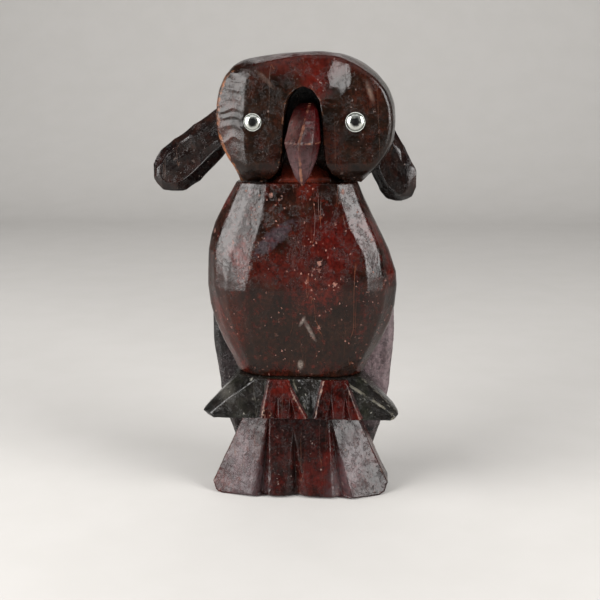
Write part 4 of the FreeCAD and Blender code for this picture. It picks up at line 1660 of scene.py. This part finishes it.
@dataclass
class Studio:
    """A pale sheet of paper under and behind the owl, soft lights and the camera."""

    camera_place: tuple[float, float, float] = (35.2, -445.6, 189.8)
    camera_heading: float = 4.5
    camera_pitch: float = 13.1
    camera_roll: float = -0.4
    lens: float = 64.5
    boxes: tuple[SoftBox, ...] = (
        SoftBox("soft_box_right", -58.0, 17.0, 0.90, (0.76, 0.70), 25.0),
        SoftBox("soft_box_left", 60.0, 17.0, 0.90, (0.48, 0.66), 16.5),
        SoftBox("soft_box_above", 10.0, 66.0, 1.4, (1.8, 1.2), 6.0),
        SoftBox("soft_box_back", 180.0, 50.0, 1.1, (1.2, 0.5), 3.5),
    )

    def build(self) -> None:
        """Set up paper, lights and camera."""
        self.lay_paper()
        self.hang_lights()
        self.place_camera()

    def lay_paper(self) -> None:
        """Sweep a profile sideways: flat floor, a quarter circle, then a wall."""
        reach, rise, radius, half = 0.75, 1.6, 0.45, 2.4
        bend = np.linspace(0, math.pi / 2, 24)
        flat = np.concatenate([[-half], np.linspace(-1.0, reach, 8)])
        y = np.concatenate([flat, reach + radius * np.sin(bend), [reach + radius]])
        z = np.concatenate([np.zeros(9), radius - radius * np.cos(bend), [rise]])
        x = np.array([-half, half])
        grid = np.stack(np.broadcast_arrays(x[None, :], y[:, None], z[:, None]), axis=-1)
        index = np.arange(len(y) * 2).reshape(len(y), 2)
        faces = np.stack([index[:-1, 0], index[:-1, 1], index[1:, 1], index[1:, 0]], axis=-1)
        mesh = bpy.data.meshes.new("studio_paper")
        mesh.from_pydata(grid.reshape(-1, 3), [], faces.tolist())
        mesh.shade_smooth()
        paper = bpy.data.objects.new("studio_paper", mesh)
        bpy.context.scene.collection.objects.link(paper)
        mesh.materials.append(StudioPaper().make())

    def hang_lights(self) -> None:
        """Aim each soft box at the owl's breast, and leave the room dim."""
        aim = Vector((0.0, 0.0, 0.10))
        for box in self.boxes:
            light = bpy.data.lights.new(box.name, "AREA")
            light.shape = "RECTANGLE"
            light.size, light.size_y = box.size
            light.energy = box.power
            light.color = (1.0, 0.985, 0.975)
            lamp = bpy.data.objects.new(box.name, light)
            a, e = math.radians(box.azimuth), math.radians(box.elevation)
            outwards = Vector((math.sin(a) * math.cos(e), -math.cos(a) * math.cos(e), math.sin(e)))
            lamp.location = aim + outwards * box.distance
            lamp.rotation_euler = (aim - lamp.location).to_track_quat("-Z", "Y").to_euler()
            lamp.visible_camera = False
            bpy.context.scene.collection.objects.link(lamp)
        world = bpy.data.worlds.new("dim_room")
        world.use_nodes = True
        background = world.node_tree.nodes["Background"]
        background.inputs["Color"].default_value = linear("cfd3d8")
        background.inputs["Strength"].default_value = 0.10
        bpy.context.scene.world = world
        bpy.context.scene.view_settings.view_transform = "Standard"

    def place_camera(self) -> None:
        """Look along the heading, pitched down, rolled a little."""
        turns = (self.camera_heading, self.camera_pitch, self.camera_roll)
        heading, pitch, roll = (math.radians(turn) for turn in turns)
        level = math.cos(pitch)
        look = Vector((-math.sin(heading) * level, math.cos(heading) * level, -math.sin(pitch)))
        across = look.cross(Vector((0, 0, 1))).normalized()
        upward = across.cross(look).normalized()
        side = across * math.cos(roll) + upward * math.sin(roll)
        head = upward * math.cos(roll) - across * math.sin(roll)
        turn = Matrix((side, head, -look)).transposed().to_4x4()
        lens = bpy.data.cameras.new("camera")
        lens.lens = self.lens
        lens.sensor_width = 36.0
        lens.clip_start = 0.01
        camera = bpy.data.objects.new("camera", lens)
        camera.matrix_world = Matrix.Translation(Vector(self.camera_place) * MM) @ turn
        bpy.context.scene.collection.objects.link(camera)
        bpy.context.scene.camera = camera


def main() -> None:
    """Build the studio and the owl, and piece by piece."""
    logging.basicConfig(level=logging.INFO, format="%(name)s %(message)s")
    pieces = (
        Studio(),
        Torso(),
        Head(),
        Beak(),
        Ear(Side.RIGHT, 39.5, 44.8, 9.8),
        Ear(Side.LEFT, 66.0, 41.9, 8.5),
        EarPeg(Side.RIGHT),
        EarPeg(Side.LEFT),
        Eye(Side.RIGHT, 3.25, 1.35),
        Eye(Side.LEFT, 3.6, 1.3),
        Perch(),
        Foot(Side.RIGHT, (-0.375, 0.085), (-0.30, -0.125), ((-0.235, -0.21), (-0.06, -0.075))),
        Foot(Side.LEFT, (0.165, 0.635), (0.255, 0.475), ((0.325, 0.335), (0.49, 0.478))),
        Tail(),
        Wing(Side.RIGHT),
        Wing(Side.LEFT),
    )
    for piece in pieces:
        piece.build()
        LOG.info("built %s", type(piece).__name__)
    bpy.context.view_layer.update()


if __name__ == "__main__":
    main()
